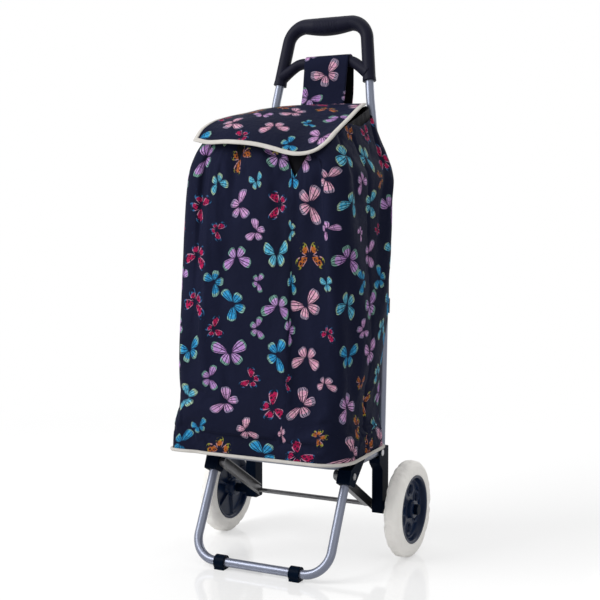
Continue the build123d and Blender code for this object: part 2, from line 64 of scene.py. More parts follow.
camera = addObject("camera", bpy.data.cameras.new("camera"))
camera.location = view["place"]
camera.rotation_euler = [math.radians(a) for a in view["turn"]]
camera.data.lens = view["lens"]
camera.data.sensor_width = view["film"]
bpy.context.scene.camera = camera
bpy.context.scene.view_settings.view_transform = "Standard"


# Shader helpers: a wire is one socket, and a finish is one material

class Wire:
    def __init__(self, finish, socket):
        self.finish = finish
        self.socket = socket

    def maths(self, operation, *others):
        return self.finish.maths(operation, self, *others)

    def __add__(self, other):
        return self.maths("ADD", other)

    def __sub__(self, other):
        return self.maths("SUBTRACT", other)

    def __rsub__(self, other):
        return self.finish.maths("SUBTRACT", other, self)

    def __mul__(self, other):
        return self.maths("MULTIPLY", other)

    def __truediv__(self, other):
        return self.maths("DIVIDE", other)

    def __rtruediv__(self, other):
        return self.finish.maths("DIVIDE", other, self)

    __radd__ = __add__
    __rmul__ = __mul__

    def above(self, edge, soft):
        # 0 under edge, 1 over edge + soft, and smooth between them
        return self.finish.add(
            "ShaderNodeMapRange",
            {"interpolation_type": "SMOOTHSTEP"},
            {"Value": self, "From Min": edge, "From Max": edge + soft},
        )

    def below(self, edge, soft):
        return 1 - self.above(edge, soft)

    def most(self, other):
        return self.maths("MAXIMUM", other)

    def power(self, other):
        return self.maths("POWER", other)

    def size(self):
        return self.maths("ABSOLUTE")

    def sine(self):
        return self.maths("SINE")

    def vector(self, operation, *others):
        values = dict(enumerate((self, *others)))
        return self.finish.add("ShaderNodeVectorMath", {"operation": operation}, values)

    def parts(self):
        split = self.finish.raw("ShaderNodeSeparateXYZ", {}, {0: self})
        return [Wire(self.finish, split.outputs[i]) for i in range(3)]


class Finish:
    def __init__(self, owner):
        owner.use_nodes = True
        self.owner = owner
        self.tree = owner.node_tree

    def raw(self, kind, settings, values):
        made = self.tree.nodes.new(kind)
        for key, value in settings.items():
            if key == "stops":
                ramp = made.color_ramp
                while len(ramp.elements) < len(value):
                    ramp.elements.new(0.5)
                for element, (place, colour) in zip(ramp.elements, value):
                    element.position = place
                    element.color = paint(colour)
                ramp.interpolation = "CONSTANT"
            else:
                setattr(made, key, value)
        for key, value in values.items():
            self.feed(made.inputs[key], value)
        return made

    def add(self, kind, settings, values, out=0):
        return Wire(self, self.raw(kind, settings, values).outputs[out])

    def feed(self, socket, value):
        if isinstance(value, Wire):
            self.tree.links.new(value.socket, socket)
        elif isinstance(value, str):
            socket.default_value = paint(value)
        else:
            socket.default_value = value

    def surface(self, **values):
        # sets the main shader's sockets and gives the material
        shader = self.tree.nodes["Principled BSDF"]
        for key, value in values.items():
            self.feed(shader.inputs[key.replace("_", " ")], value)
        return self.owner

    def maths(self, operation, *values):
        return self.add("ShaderNodeMath", {"operation": operation}, dict(enumerate(values)))

    def mix(self, factor, low, high):
        return self.add("ShaderNodeMix", {"data_type": "RGBA"}, {0: factor, 6: low, 7: high}, 2)

    def bands(self, factor, colours):
        stops = [(i / len(colours), code) for i, code in enumerate(colours)]
        return self.add("ShaderNodeValToRGB", {"stops": stops}, {0: factor})

    def grain(self, place, scale, detail=2.0, rough=0.5):
        values = {"Vector": place, "Scale": scale, "Detail": detail, "Roughness": rough}
        return self.add("ShaderNodeTexNoise", {}, values)

    def dice(self, place):
        # one random number, and three more, for each whole place
        settings = {"noise_dimensions": "3D"}
        made = self.raw("ShaderNodeTexWhiteNoise", settings, {"Vector": place})
        return Wire(self, made.outputs["Value"]), Wire(self, made.outputs["Color"]).parts()

    def bump(self, height, strength, distance, under=None):
        values = {"Strength": strength, "Distance": distance, "Height": height}
        if under:
            values["Normal"] = under
        return self.add("ShaderNodeBump", {}, values)

    def place(self):
        # the piece's own coordinates, in metres
        return self.add("ShaderNodeTexCoord", {}, {}, "Object")

    def cloth(self):
        # the cloth's own width and length, in metres
        return self.add("ShaderNodeUVMap", {"uv_map": "cloth"}, {})


def paint(code):
    # "#rrggbb" as linear colour
    parts = [int(code[i:i + 2], 16) / 255 for i in (1, 3, 5)]
    return [c / 12.92 if c <= 0.04045 else ((c + 0.055) / 1.055) ** 2.4 for c in parts] + [1]


def newFinish(name):
    return Finish(bpy.data.materials.new(name))


# Print: winged motifs on two lattices, each turned, sized and coloured at random

motif = {
    "pitch": 0.080,
    "jitter": 0.11,             # of the pitch, to each side and up
    "slant": 0.4,
    "bow": 0.16,                # how far each ring bends round the wing's root
    "large": {"shift": 0.0, "sizes": (0.66, 0.80), "seed": 3.0},
    "small": {"shift": 0.5, "sizes": (0.38, 0.60), "seed": 8.0},
    "fore": {
        "aim": 0.52, "length": 0.54, "front": 0.118, "rear": 0.185,
        "rise": 0.98, "fall": 0.30, "full": 2.02, "tip": 0.84, "rings": (0.36, 0.68),
    },
    "hind": {
        "aim": -0.86, "length": 0.37, "front": 0.150, "rear": 0.150,
        "rise": 0.80, "fall": 0.26, "full": 1.80, "tip": 0.74, "rings": (0.52,),
    },
    "ringed": (0.43, 0.714),    # the kinds that are drawn in rings
    "fills": ["#b07cc2", "#d593b2", "#1c7fbc", "#b3652e", "#ad1f4e", "#c08ac6", "#2f9ac6"],
    "pales": ["#c9a4da", "#eabccd", "#48aad8", "#c58c60", "#c9486e", "#d9aed6", "#7fcbdc"],
    "margins": ["#7fae9f", "#a796ad", "#93c4b6", "#99993c", "#2b6c9b", "#9f93b5", "#b4d2b0"],
    "lines": ["#c4a2d4", "#e0b4ca", "#58b0d6", "#c39aa6", "#c497b0", "#c4a2d4", "#e0b4ca"],
}


def wingShape(side, up, wing):
    # one wing as a leaf from its root: how far along and across, and where its dark veins leave it
    cos, sin = math.cos(wing["aim"]), math.sin(wing["aim"])
    along = (side * cos + up * sin) / wing["length"]
    across = up * cos - side * sin
    rise = along.most(0.0).power(wing["rise"])
    leaf = rise * (1 - along).most(0.0).power(wing["fall"]) * wing["full"]
    ahead = across.above(0.0, 0.0001)
    wide = (leaf * (ahead * (wing["front"] - wing["rear"]) + wing["rear"])).most(0.0004)
    share = across / wide
    far = share.size()
    inside = far.below(0.90, 0.08)
    fan = share * 1.5 + along * 0.25
    vein = (fan - (fan + 0.5).maths("FLOOR")).size() * wide
    clear = vein.above(0.015 - along * 0.004, 0.008)
    cross = (along - far * far * motif["bow"] - 0.44).size().above(0.008, 0.014)
    return along, far, wide, inside, clear * cross.most(far.below(0.0, 0.2))


def motifLayer(finish, cloth, layer):
    # the motifs' colour, and where they cover the ground
    low, high = layer["sizes"]
    shift, seed = layer["shift"], layer["seed"]
    cells = cloth.vector("MULTIPLY_ADD", (1 / motif["pitch"],) * 3, (shift, shift, 0.0))
    seeded = cells.vector("FLOOR").vector("ADD", (seed, seed * 0.37, 0.5))
    spin, (jitterX, jitterY, sizePick) = finish.dice(seeded)
    kind, (tilt, wobble, slant) = finish.dice(seeded.vector("ADD", (17.3, 4.1, 2.2)))
    turn = spin * (2 * math.pi)
    local = cells.vector("FRACTION").parts()
    size = sizePick * (high - low) + low
    x = (local[0] - 0.5 + (jitterX - 0.5) * motif["jitter"]) / size
    y = (local[1] - 0.5 + (jitterY - 0.5) * motif["jitter"]) / size
    cos, sin = turn.maths("COSINE"), turn.sine()
    level = x * cos - y * sin
    up = x * sin + y * cos + level * (slant - 0.5) * motif["slant"]
    side = (level * (1 + tilt * 0.4)).size() - 0.024    # half the body's gap
    first, last = motif["ringed"]
    ringed = kind.above(first, 0.001) * kind.below(last, 0.001)
    spot = finish.add("ShaderNodeCombineXYZ", {}, {0: side * 9, 1: up * 9, 2: kind * 9})
    streak = finish.grain(spot, 1.5)
    covers, edges, tips = [], [], []
    for name in ("fore", "hind"):
        wing = motif[name]
        along, far, wide, inside, clear = wingShape(side, up - 0.005, wing)
        reach = along + far * far * motif["bow"]
        tip = reach.above(wing["tip"] + (wobble - 0.5) * 0.16, 0.05)
        dots = (far * 8.0 + along * 2.0).sine().size().above(0.30, 0.35)
        solid = inside * clear * (1 - tip * (1 - dots))
        outline = far.above(0.70, 0.12) * inside * along.above(0.15, 0.1)
        drawn = outline * streak.above(0.40, 0.06)
        for middle in wing["rings"]:
            eye = ((along - middle) * 0.9).size() + far * wide * 2.6
            drawn = drawn.most(eye.above(0.11, 0.03) * eye.below(0.19, 0.03))
        blotch = streak.above(0.48, 0.05) * (along - 0.60).size().below(0.20, 0.08)
        drawn = drawn.most(blotch) * inside
        covers.append(finish.add("ShaderNodeMix", {}, {0: ringed, 2: solid, 3: drawn}))
        edges.append(outline)
        tips.append(tip * inside)
    cover = covers[0].most(covers[1]) * side.above(-0.008, 0.01)
    edge, tip = edges[0].most(edges[1]), tips[0].most(tips[1])
    fill, pale, margin, outline = [
        finish.bands(kind, motif[part]) for part in ("fills", "pales", "margins", "lines")
    ]
    shade = finish.mix(streak.above(0.30, 0.4), fill, pale)
    solid = finish.mix(tip, shade, margin)
    rings = finish.mix(edge, fill, outline)
    return finish.mix(ringed, solid, finish.mix(tip, rings, margin)), cover


fabric = {
    "ground": "#161927",
    "worn": "#1f2238",
    "printed": 0.94,
    "thread": 5200,
    "fleck": {"scale": 1900, "share": 0.45, "dark": 0.6},
    "creases": {"scale": 20, "depth": 0.010},
    "rough": 0.50,
    "shine": 0.012,
    "tint": "#a0aeff",
}


def makeFabric(name):
    finish = newFinish(name)
    cloth = finish.cloth()
    colour = finish.mix(finish.grain(cloth, 7.0, 1.0), fabric["ground"], fabric["worn"])
    for layer in ("large", "small"):
        tint, cover = motifLayer(finish, cloth, motif[layer])
        colour = finish.mix(cover * fabric["printed"], colour, tint)
    x, y, _ = cloth.parts()
    weave = (x * fabric["thread"]).sine() * (y * fabric["thread"]).sine()
    fleck = finish.grain(cloth, fabric["fleck"]["scale"]) * fabric["fleck"]["share"]
    colour = finish.mix(fleck, colour, finish.mix(fabric["fleck"]["dark"], colour, "#000000"))
    creases = finish.grain(cloth, fabric["creases"]["scale"], 3.0, 0.6)
    relief = finish.bump(creases, 0.5, fabric["creases"]["depth"])
    return finish.surface(
        Base_Color=colour,
        Roughness=creases * 0.12 + fabric["rough"],
        Normal=finish.bump(weave, 0.25, 0.0004, relief),
        Specular_IOR_Level=fabric["shine"],
        Specular_Tint=fabric["tint"],
    )


def makePaint(name, base, lighter, rough, scale=900, metal=0.0, coat=0.0, shine=0.5):
    finish = newFinish(name)
    place = finish.place()
    cloud = finish.grain(place, 24.0, 3.0)
    return finish.surface(
        Base_Color=finish.mix(cloud, base, lighter),
        Roughness=cloud * 0.1 + rough,
        Metallic=metal,
        Normal=finish.bump(finish.grain(place, scale), 0.08, 0.0004),
        Coat_Weight=coat,
        Coat_Roughness=0.12,
        Specular_IOR_Level=shine,
    )


def makeFoam(name):
    finish = newFinish(name)
    place = finish.place()
    cloud = finish.grain(place, 30.0, 3.0)
    pore = finish.grain(place, 700.0, 3.0, 0.6)
    lump = finish.grain(place, 170.0, 3.0, 0.6)
    dirt = finish.grain(place, 12.0, 4.0, 0.6).above(0.52, 0.3)
    tint = finish.mix(cloud, "#f0ede8", "#f8f6f2")
    return finish.surface(
        Base_Color=finish.mix(dirt * 0.35, tint, "#cfcbc6"),
        Roughness=cloud * 0.1 + 0.72,
        Normal=finish.bump(pore, 0.12, 0.001, finish.bump(lump, 0.45, 0.003)),
        Specular_IOR_Level=0.25,
    )


def makeTape(name, base, lighter):
    # ribbed cloth tape, with its ribs across the length
    finish = newFinish(name)
    cloth = finish.cloth()
    x, y, _ = cloth.parts()
    ribs = (x * 3900).sine() * 0.5 + 0.5
    return finish.surface(
        Base_Color=finish.mix(finish.grain(cloth, 60.0, 3.0), base, lighter),
        Roughness=0.78,
        Normal=finish.bump(ribs * ((y * 2600).sine() * 0.3 + 0.7), 0.4, 0.0005),
        Specular_IOR_Level=0.1,
    )


def makeSteel(name, base, lighter, rough):
    finish = newFinish(name)
    place = finish.place()
    brushed = finish.grain(place.vector("MULTIPLY", (1.0, 0.12, 1.0)), 900.0, 3.0)
    spangle = finish.grain(place, 90.0, 4.0, 0.7)
    return finish.surface(
        Base_Color=finish.mix(spangle, base, lighter),
        Roughness=spangle * 0.2 + rough,
        Metallic=0.9,
        Normal=finish.bump(brushed, 0.1, 0.0003),
    )


finishes = {
    "printed_fabric": makeFabric("printedFabric"),
    "tube_paint": makePaint("tubePaint", "#666a7a", "#757b8b", 0.30, 1600, 0.55, 0.25),
    "handle_plastic": makePaint("handlePlastic", "#0b0c19", "#101124", 0.50, 1200, shine=0.10),
    "bracket_plastic": makePaint("bracketPlastic", "#020a18", "#041021", 0.36, 700, shine=0.02),
    "rim_plastic": makePaint("rimPlastic", "#071630", "#0b1f3c", 0.26, 700, 0.0, 0.03, 0.12),
    "bush_plastic": makePaint("bushPlastic", "#141f33", "#1a2740", 0.3, shine=0.3),
    "board_plastic": makePaint("boardPlastic", "#17171b", "#1f1f24", 0.55, shine=0.2),
    "tyre_foam": makeFoam("tyreFoam"),
    "cream_piping": makeTape("creamPiping", "#b3afaa", "#c6c3be"),
    "lining_fabric": makeTape("liningFabric", "#07070b", "#0d0d13"),
    "zinc_steel": makeSteel("zincSteel", "#58585a", "#747476", 0.30),
    "rivet_steel": makeSteel("rivetSteel", "#9a9a9e", "#b9b9bd", 0.2),
    "eyelet_brass": makeSteel("eyeletBrass", "#a08a52", "#c0a868", 0.22),
}
print("finishes made:", len(finishes))


# Mesh helpers

def limit(value):
    return min(1.0, max(0.0, value))


def ease(value, low, high):
    share = limit((value - low) / (high - low))
    return share * share * (3 - 2 * share)


def bump(x, middle, width):
    return math.exp(-((x - middle) / width) ** 2)


def makePiece(name, points, faces, body, finish, cloth=None, smooth=True, flip=False):
    mesh = bpy.data.meshes.new(name)
    mesh.from_pydata([tuple(float(c) for c in p) for p in points], [], faces)
    if cloth is not None:
        layer = mesh.uv_layers.new(name="cloth")
        layer.data.foreach_set("uv", np.array(cloth, float).reshape(-1))
    mesh.update()
    mesh.validate()
    if flip:
        mesh.flip_normals()
    if smooth:
        mesh.polygons.foreach_set("use_smooth", [True] * len(mesh.polygons))
    piece = addObject(name, mesh)
    piece.data.materials.append(finishes[finish])
    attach(piece, body)
    return piece


def thicken(piece, **settings):
    # gives a sheet its thickness
    solidify = piece.modifiers.new("solidify", "SOLIDIFY")
    for key, value in settings.items():
        setattr(solidify, key, value)
    graph = bpy.context.evaluated_depsgraph_get()
    done = bpy.data.meshes.new_from_object(piece.evaluated_get(graph), depsgraph=graph)
    piece.modifiers.clear()
    piece.data = done


def makeCloth(piece, thickness, outwards):
    # turns a sheet's printed face outwards and puts black lining behind it
    faces = piece.data.polygons
    if sum(f.area * f.normal.dot(outwards(f.center)) for f in faces) < 0:
        piece.data.flip_normals()
    piece.data.materials.append(finishes["lining_fabric"])
    thicken(piece, thickness=thickness, offset=-1, material_offset=1, material_offset_rim=0)


def cutSize(points, rows, columns, closed):
    # the greatest width and length of a sheet of points, along the cloth
    grid = np.array([tuple(p) for p in points]).reshape(rows, columns, 3)
    around = np.concatenate([grid, grid[:, :1]], 1) if closed else grid
    width = np.linalg.norm(np.diff(around, axis=1), axis=2).sum(1).max()
    length = np.linalg.norm(np.diff(grid, axis=0), axis=2).sum(0).max()
    return float(width), float(length)


def clothArea(piece):
    return sum(face.area for face in piece.data.polygons)


def gridFaces(rows, columns, closed=False, loop=False):
    # faces of a sheet of points, row by row, and the place of each corner as (row, column)
    faces, corners = [], []
    for r in range(rows if loop else rows - 1):
        low, high = r * columns, (r + 1) % rows * columns
        for c in range(columns if closed else columns - 1):
            d = (c + 1) % columns
            faces.append((low + c, low + d, high + d, high + c))
            corners += [(r, c), (r, c + 1), (r + 1, c + 1), (r + 1, c)]
    return faces, corners


def makeSheet(name, points, rows, body, finish, cloth, closed=False):
    # a piece of cloth from rows of points, with its size and area before it gets a thickness
    columns = len(points) // rows
    faces, corners = gridFaces(rows, columns, closed)
    sheet = makePiece(name, points, faces, body, finish, [cloth(r, c) for r, c in corners])
    return sheet, cutSize(points, rows, columns, closed), clothArea(sheet)


def sweep(frames, outline, loop=False):
    # a ring of points at each frame (its middle, side and up), the faces between, and end caps
    rings = [outline(i) for i in range(len(frames))]
    points = [
        middle + side * a + up * b
        for (middle, side, up), ring in zip(frames, rings) for a, b in ring
    ]
    steps = len(rings[0])
    faces, corners = gridFaces(len(rings), steps, True, loop)
    if not loop:
        faces += [tuple(reversed(range(steps)))]
        faces += [tuple(range(len(points) - steps, len(points)))]
        corners += [(0, 0)] * (2 * steps)
    return points, faces, corners


def neighbours(path, closed=False):
    # each point of a path between the ones before and after it
    last = len(path) - 1
    for i, spot in enumerate(path):
        before = path[i - 1] if closed or i > 0 else spot
        after = path[(i + 1) % len(path)] if closed or i < last else spot
        yield before, spot, after


def runLengths(points, closed=False):
    # how far along its path each point lies
    path = np.array([tuple(p) for p in points], float)
    if closed:
        path = np.concatenate([path, path[:1]])
    return np.concatenate([[0], np.cumsum(np.linalg.norm(np.diff(path, axis=0), axis=1))])


def smoothRun(places, values, at, free=False):
    # a smooth curve through the values, which doesn't overshoot them unless it is free
    places, values = np.array(places, float), np.array(values, float)
    if free:
        slopes = np.gradient(values, places)
    else:
        steps = np.diff(values) / np.diff(places)
        same = steps[:-1] * steps[1:] > 0
        mean = 2 * steps[:-1] * steps[1:] / np.where(same, steps[:-1] + steps[1:], 1)
        slopes = np.concatenate([steps[:1], np.where(same, mean, 0), steps[-1:]])
    at = np.clip(at, places[0], places[-1])
    k = np.clip(np.searchsorted(places, at) - 1, 0, len(places) - 2)
    width = places[k + 1] - places[k]
    t = (at - places[k]) / width
    rise, fall = slopes[k] * width, slopes[k + 1] * width
    return (
        values[k] * (1 + 2 * t) * (1 - t) ** 2 + rise * t * (1 - t) ** 2
        + values[k + 1] * t * t * (3 - 2 * t) + fall * t * t * (t - 1)
    )


def alongCurve(controls, count):
    # evenly spaced points on a smooth curve through the controls
    controls = [Vector(c) for c in controls]
    reach = [0.0]
    for a, b in zip(controls, controls[1:]):
        reach.append(reach[-1] + (b - a).length)
    fine = np.linspace(0, reach[-1], 600)
    axes = [smoothRun(reach, [c[i] for c in controls], fine, free=True) for i in range(3)]
    dense = np.stack(axes, 1)
    run = runLengths(dense)
    at = np.linspace(0, run[-1], count)
    return np.stack([np.interp(at, run, dense[:, i]) for i in range(3)], 1)


# Flap: a curved patch between four edges, with its binding

flap = {
    "back": [
        (-0.0925, 0.0872, 0.7770), (-0.03, 0.0885, 0.7785),
        (0.03, 0.0885, 0.7785), (0.0885, 0.0872, 0.7768),
    ],
    "front": [
        (-0.1240, -0.128, 0.7080), (-0.1005, -0.131, 0.7026), (-0.0598, -0.134, 0.7018),
        (-0.0336, -0.136, 0.6999), (-0.0055, -0.137, 0.6964), (0.0298, -0.139, 0.6881),
        (0.0494, -0.139, 0.6825), (0.0665, -0.138, 0.6795), (0.0807, -0.135, 0.6799),
        (0.0931, -0.130, 0.6830), (0.1020, -0.122, 0.6886), (0.1066, -0.110, 0.6961),
    ],
    "left": [
        (-0.1240, -0.128, 0.7080), (-0.1245, -0.108, 0.7255), (-0.1230, -0.078, 0.7400),
        (-0.1175, -0.031, 0.7525), (-0.1090, 0.010, 0.7612), (-0.1000, 0.050, 0.7705),
        (-0.0925, 0.0872, 0.7770),
    ],
    "right": [
        (0.1066, -0.110, 0.6961), (0.1095, -0.093, 0.7060), (0.1100, -0.075, 0.7170),
        (0.1090, -0.050, 0.7290), (0.1050, -0.010, 0.7450), (0.0985, 0.035, 0.7620),
        (0.0885, 0.0872, 0.7768),
    ],
    "across": 56,
    "along": 60,
    "thickness": 0.0022,
    "crown": 0.013,
    "leftHigh": {"at": 0.20, "width": 0.26, "share": 0.45},
    "waves": [(0.0035, 14, 10, 3.1), (0.0012, 45, 38, 7.7)],    # height, scales and seed
    "cut": (1.234, 0.777, 1.08),            # the print's place and stretch on the flap
    "binding": {"width": 0.0058, "half": 0.0017, "lip": (0.0014, 0.0018), "step": 0.003},
}


def flapPatch():
    across, along = flap["across"], flap["along"]
    back, front = (alongCurve(flap[edge], across) for edge in ("back", "front"))
    left, right = (alongCurve(flap[edge], along) for edge in ("left", "right"))
    u = np.linspace(0, 1, across)[None, :, None]
    v = np.linspace(0, 1, along)[:, None, None]
    # left and right both run from front to back
    patch = (
        (1 - v) * front[None] + v * back[None]
        + (1 - u) * left[:, None] + u * right[:, None]
        - (1 - u) * (1 - v) * front[0] - u * (1 - v) * front[-1]
        - (1 - u) * v * back[0] - u * v * back[-1]
    )
    u, v, high = u[..., 0], v[..., 0], flap["leftHigh"]
    inner = np.sin(math.pi * u) * np.sin(math.pi * v)
    leftHigh = np.exp(-(((u - high["at"]) / high["width"]) ** 2))
    leftHigh = leftHigh * np.sin(math.pi * v ** 0.85) ** 0.8
    swell = leftHigh * high["share"] * (np.sin(math.pi * u) ** 0.6)
    patch[..., 2] += flap["crown"] * (inner ** 0.8 * 0.5 + swell)
    for r in range(along):
        for c in range(across):
            x, y = patch[r, c, :2]
            for height, wideX, wideY, seed in flap["waves"]:
                wave = noise.noise(Vector((x * wideX, y * wideY, seed)))
                patch[r, c, 2] += height * inner[r, c] ** 0.5 * wave
    return patch


def makeBinding(patch):
    # cream tape folded over the flap's left, front and right edges
    edge = np.concatenate([patch[:0:-1, 0], patch[0], patch[1:, -1]])
    inside = np.concatenate([patch[:0:-1, 1], patch[1], patch[1:, -2]])
    inward = [Vector(p).normalized() for p in inside - edge]
    edge = [Vector(p) for p in edge]
    last = len(edge) - 1
    frames = []
    for i, (before, spot, after) in enumerate(neighbours(edge)):
        near = [inward[min(max(i + k, 0), last)] for k in range(-3, 4)]
        into = sum(near, Vector()).normalized()
        way = (after - before).normalized()
        up = into.cross(way).normalized()
        if up.z < 0:
            up = -up
        into = (into - way * into.dot(way)).normalized()
        frames.append((spot - up * flap["thickness"] / 2, into, up))
    tape = flap["binding"]
    width, half, (bend, lip) = tape["width"], tape["half"], tape["lip"]
    upper = [(width, half), (width * 0.5, half * 1.1), (0.0, half), (-bend, half * 0.5)]
    outline = upper + [(-lip, 0)] + [(a, -b) for a, b in reversed(upper)]
    points, faces, corners = sweep(frames, lambda i: outline)
    lengths = runLengths(edge)
    cloth = [(lengths[r], c * tape["step"]) for r, c in corners]
    return makePiece("flap_edge_binding", points, faces, "flap", "cream_piping", cloth)


def makeFlap():
    patch = flapPatch()
    toX, toY, stretch = flap["cut"]
    sheet, size, area = makeSheet(
        "flap_panel_cloth", [Vector(p) for p in patch.reshape(-1, 3)], flap["along"],
        "flap", "printed_fabric",
        lambda r, c: (patch[r, c, 0] + toX, patch[r, c, 1] * stretch + toY),
    )
    makeCloth(sheet, flap["thickness"], lambda spot: Vector((0, 0, 1)))
    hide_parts("flap_panel")
    tape = makeBinding(patch)
    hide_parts("flap_binding")
    print("flap cut", size, area)
    return sheet, tape


flapSheet, flapTape = makeFlap()
flapTree = BVHTree.FromPolygons(
    [v.co for v in flapSheet.data.vertices], [p.vertices[:] for p in flapSheet.data.polygons]
)
print("flap made")


def underFlap(spot, gap):
    # lowers a point that would come nearer to the flap's underside than the gap
    above = flapTree.ray_cast(spot - Vector((0, 0, 0.06)), Vector((0, 0, 1)), 0.12)[0]
    if above:
        spot.z = min(spot.z, above.z - gap)
    return spot


# Bag: one lofted shell from the platform up to the sloping mouth

uprights = {"heights": [0.10, 0.195, 0.51, 0.80], "backs": [0.07575, 0.07575, 0.08975, 0.1]}

bag = {
    "levels": [
        0.1875, 0.215, 0.27, 0.36, 0.45, 0.54, 0.61, 0.645, 0.665, 0.69, 0.71, 0.75, 0.78,
    ],
    "leftFront": [
        -0.174, -0.172, -0.169, -0.163, -0.156, -0.1535, -0.153,
        -0.153, -0.151, -0.1430, -0.130, -0.108, -0.094,
    ],
    "leftBack": [
        -0.146, -0.148, -0.151, -0.154, -0.155, -0.154, -0.153,
        -0.152, -0.149, -0.142, -0.132, -0.110, -0.094,
    ],
    "rightFront": [
        0.149, 0.150, 0.151, 0.152, 0.152, 0.152, 0.151,
        0.149, 0.142, 0.120, 0.108, 0.100, 0.092,
    ],
    "rightBack": [
        0.140, 0.1400, 0.1395, 0.1425, 0.1500, 0.150, 0.152,
        0.158, 0.154, 0.144, 0.132, 0.116, 0.104,
    ],
    "front": [
        -0.133, -0.136, -0.138, -0.139, -0.139, -0.138, -0.134,
        -0.129, -0.125, -0.117, -0.111, -0.102, -0.092,
    ],
    "cornerLevels": [0.1875, 0.23, 0.30, 0.50, 0.645, 0.78],
    "frontLeftCorner": [0.012, 0.018, 0.026, 0.030, 0.034, 0.046],
    "frontRightCorner": [0.048, 0.040, 0.030, 0.026, 0.034, 0.050],
    "backCorner": [0.022, 0.022, 0.022, 0.022, 0.024, 0.030],
    "backGap": 0.013,
    "rows": 140,
    "corners": [
        ("rightBack", "backCorner"), ("rightFront", "frontRightCorner"),
        ("leftFront", "frontLeftCorner"), ("leftBack", "backCorner"),
    ],
    "sides": {"right": 44, "front": 96, "left": 44, "back": 60},
    "corner": 12,
    "footRings": 6,
    "footDepth": 0.200,
    "thickness": 0.0012,
    "mouth": {"y": 0.08725, "z": 0.776, "slope": 0.36, "gap": 0.0018},
    "underFlap": 0.0030,
    "notch": {"x": 0.0595, "foot": 0.641, "opens": 0.53},
    "lowEdge": {"depth": 0.015, "from": -0.030, "to": 0.012},
    "highEdge": {"height": 0.010, "y": -0.07, "width": 0.055},
}

# A channel is its place at a given height, its lean, half its width and how far it stands out.
folds = {
    "crown": 0.005,
    "height": 0.5,
    "slow": 0.0040,
    "fine": 0.0015,
    "front": {
        "at": 0.62, "from": 0.30, "over": 0.30,
        "channels": [
            (0.030, -0.20, 0.013, -0.0050), (0.100, 0.12, 0.012, -0.0045),
            (-0.052, 0.10, 0.013, -0.0070), (-0.116, 0.10, 0.010, -0.0055),
            (-0.085, 0.10, 0.022, 0.0040),
        ],
    },
    "foot": {"at": 0.2, "from": 0.33, "over": -0.12, "channels": [(-0.125, -0.25, 0.014, -0.003)]},
    "side": {
        "at": 0.6, "from": 0.45, "over": 0.15,
        "channels": [(0.022, 0.25, 0.010, -0.0035), (-0.085, 0.10, 0.011, -0.0030)],
    },
    "seam": {
        "y": -0.030, "depth": 0.0022, "width": 0.0030, "dip": 0.0035, "dipWidth": 0.022,
        "pucker": 0.0016, "puckerWidth": 0.012, "seeds": {"left": 3.0, "right": 8.0},
    },
}


def uprightBack(z):
    return float(smoothRun(uprights["heights"], uprights["backs"], z))


def bagRing(z):
    # the outline at one level, as points that start at the back's middle and run by the right
    def at(part, levels="levels"):
        return float(smoothRun(bag[levels], bag[part], z))

    back, front = uprightBack(z) - bag["backGap"], at("front")
    corners = [
        (Vector((at(edge), back if "Back" in edge else front)), at(radius, "cornerLevels"))
        for edge, radius in bag["corners"]
    ]
    arcs, steps = [], bag["corner"]
    for i, (corner, radius) in enumerate(corners):
        before = (corners[i - 1][0] - corner).normalized()
        after = (corners[(i + 1) % 4][0] - corner).normalized()
        half = before.angle(after) / 2
        run = radius / math.tan(half)
        centre = corner + (before + after).normalized() * (radius / math.sin(half))
        start, end = corner + before * run - centre, corner + after * run - centre
        sweepAngle = start.angle_signed(end)
        turned = []
        for k in range(steps + 1):
            angle = -sweepAngle * k / steps
            cos, sin = math.cos(angle), math.sin(angle)
            spoke = Vector((start.x * cos - start.y * sin, start.x * sin + start.y * cos))
            turned.append(centre + spoke)
        arcs.append(turned)
    points = []
    for i, (arc, count) in enumerate(zip(arcs, bag["sides"].values())):
        following = arcs[(i + 1) % 4][0]
        points += arc + [arc[-1].lerp(following, k / count) for k in range(1, count)]
    return points


def channels(group, place, z):
    rows = folds[group]
    fade = limit((z - rows["from"]) / rows["over"])
    return fade * sum(
        out * bump(place, at + lean * (z - rows["at"]), width)
        for at, lean, width, out in rows["channels"]
    )


def bagFold(x, y, z, across, side):
    # how far the cloth stands out at one point, in metres
    rise = limit((z - bag["levels"][0]) / folds["height"])
    full = math.sin(math.pi * rise) ** 0.6 if 0 < rise < 1 else 0
    slow = noise.noise(Vector((x * 9, y * 9, z * 2.2)))
    fine = noise.noise(Vector((x * 30 + 4, y * 30, z * 8)))
    out = folds["crown"] * math.sin(math.pi * limit(across)) * full
    out += folds["slow"] * slow * full + folds["fine"] * fine * full
    if side == "front":
        # the cloth stands out beside the notch, and soft channels run down from the flap
        notch = bag["notch"]
        opened = max(0.0, z - notch["foot"] + 0.030)
        gap = abs(x - notch["x"]) / (notch["opens"] * opened + 0.006)
        out += 0.0040 * bump(gap, 1.5, 0.6) * min(1.0, opened / 0.04)
        out -= 0.0060 * bump(gap, 0.0, 0.8) * min(1.0, opened / 0.03)
        out += channels("front", x, z) + channels("foot", x, z)
    if side in ("left", "right"):
        # the side seam draws the cloth in, with small puckers along it
        seam = folds["seam"]
        pull = noise.noise(Vector((z * 85, seam["seeds"][side], 0)))
        out -= seam["depth"] * bump(y, seam["y"], seam["width"])
        out -= seam["dip"] * bump(y, seam["y"], seam["dipWidth"]) * full
        out += seam["pucker"] * pull * bump(y, seam["y"], seam["puckerWidth"])
        out += channels("side", y, z)
    return out


def mouthHeight(y):
    mouth = bag["mouth"]
    return mouth["z"] - mouth["slope"] * (mouth["y"] - y) - mouth["gap"]


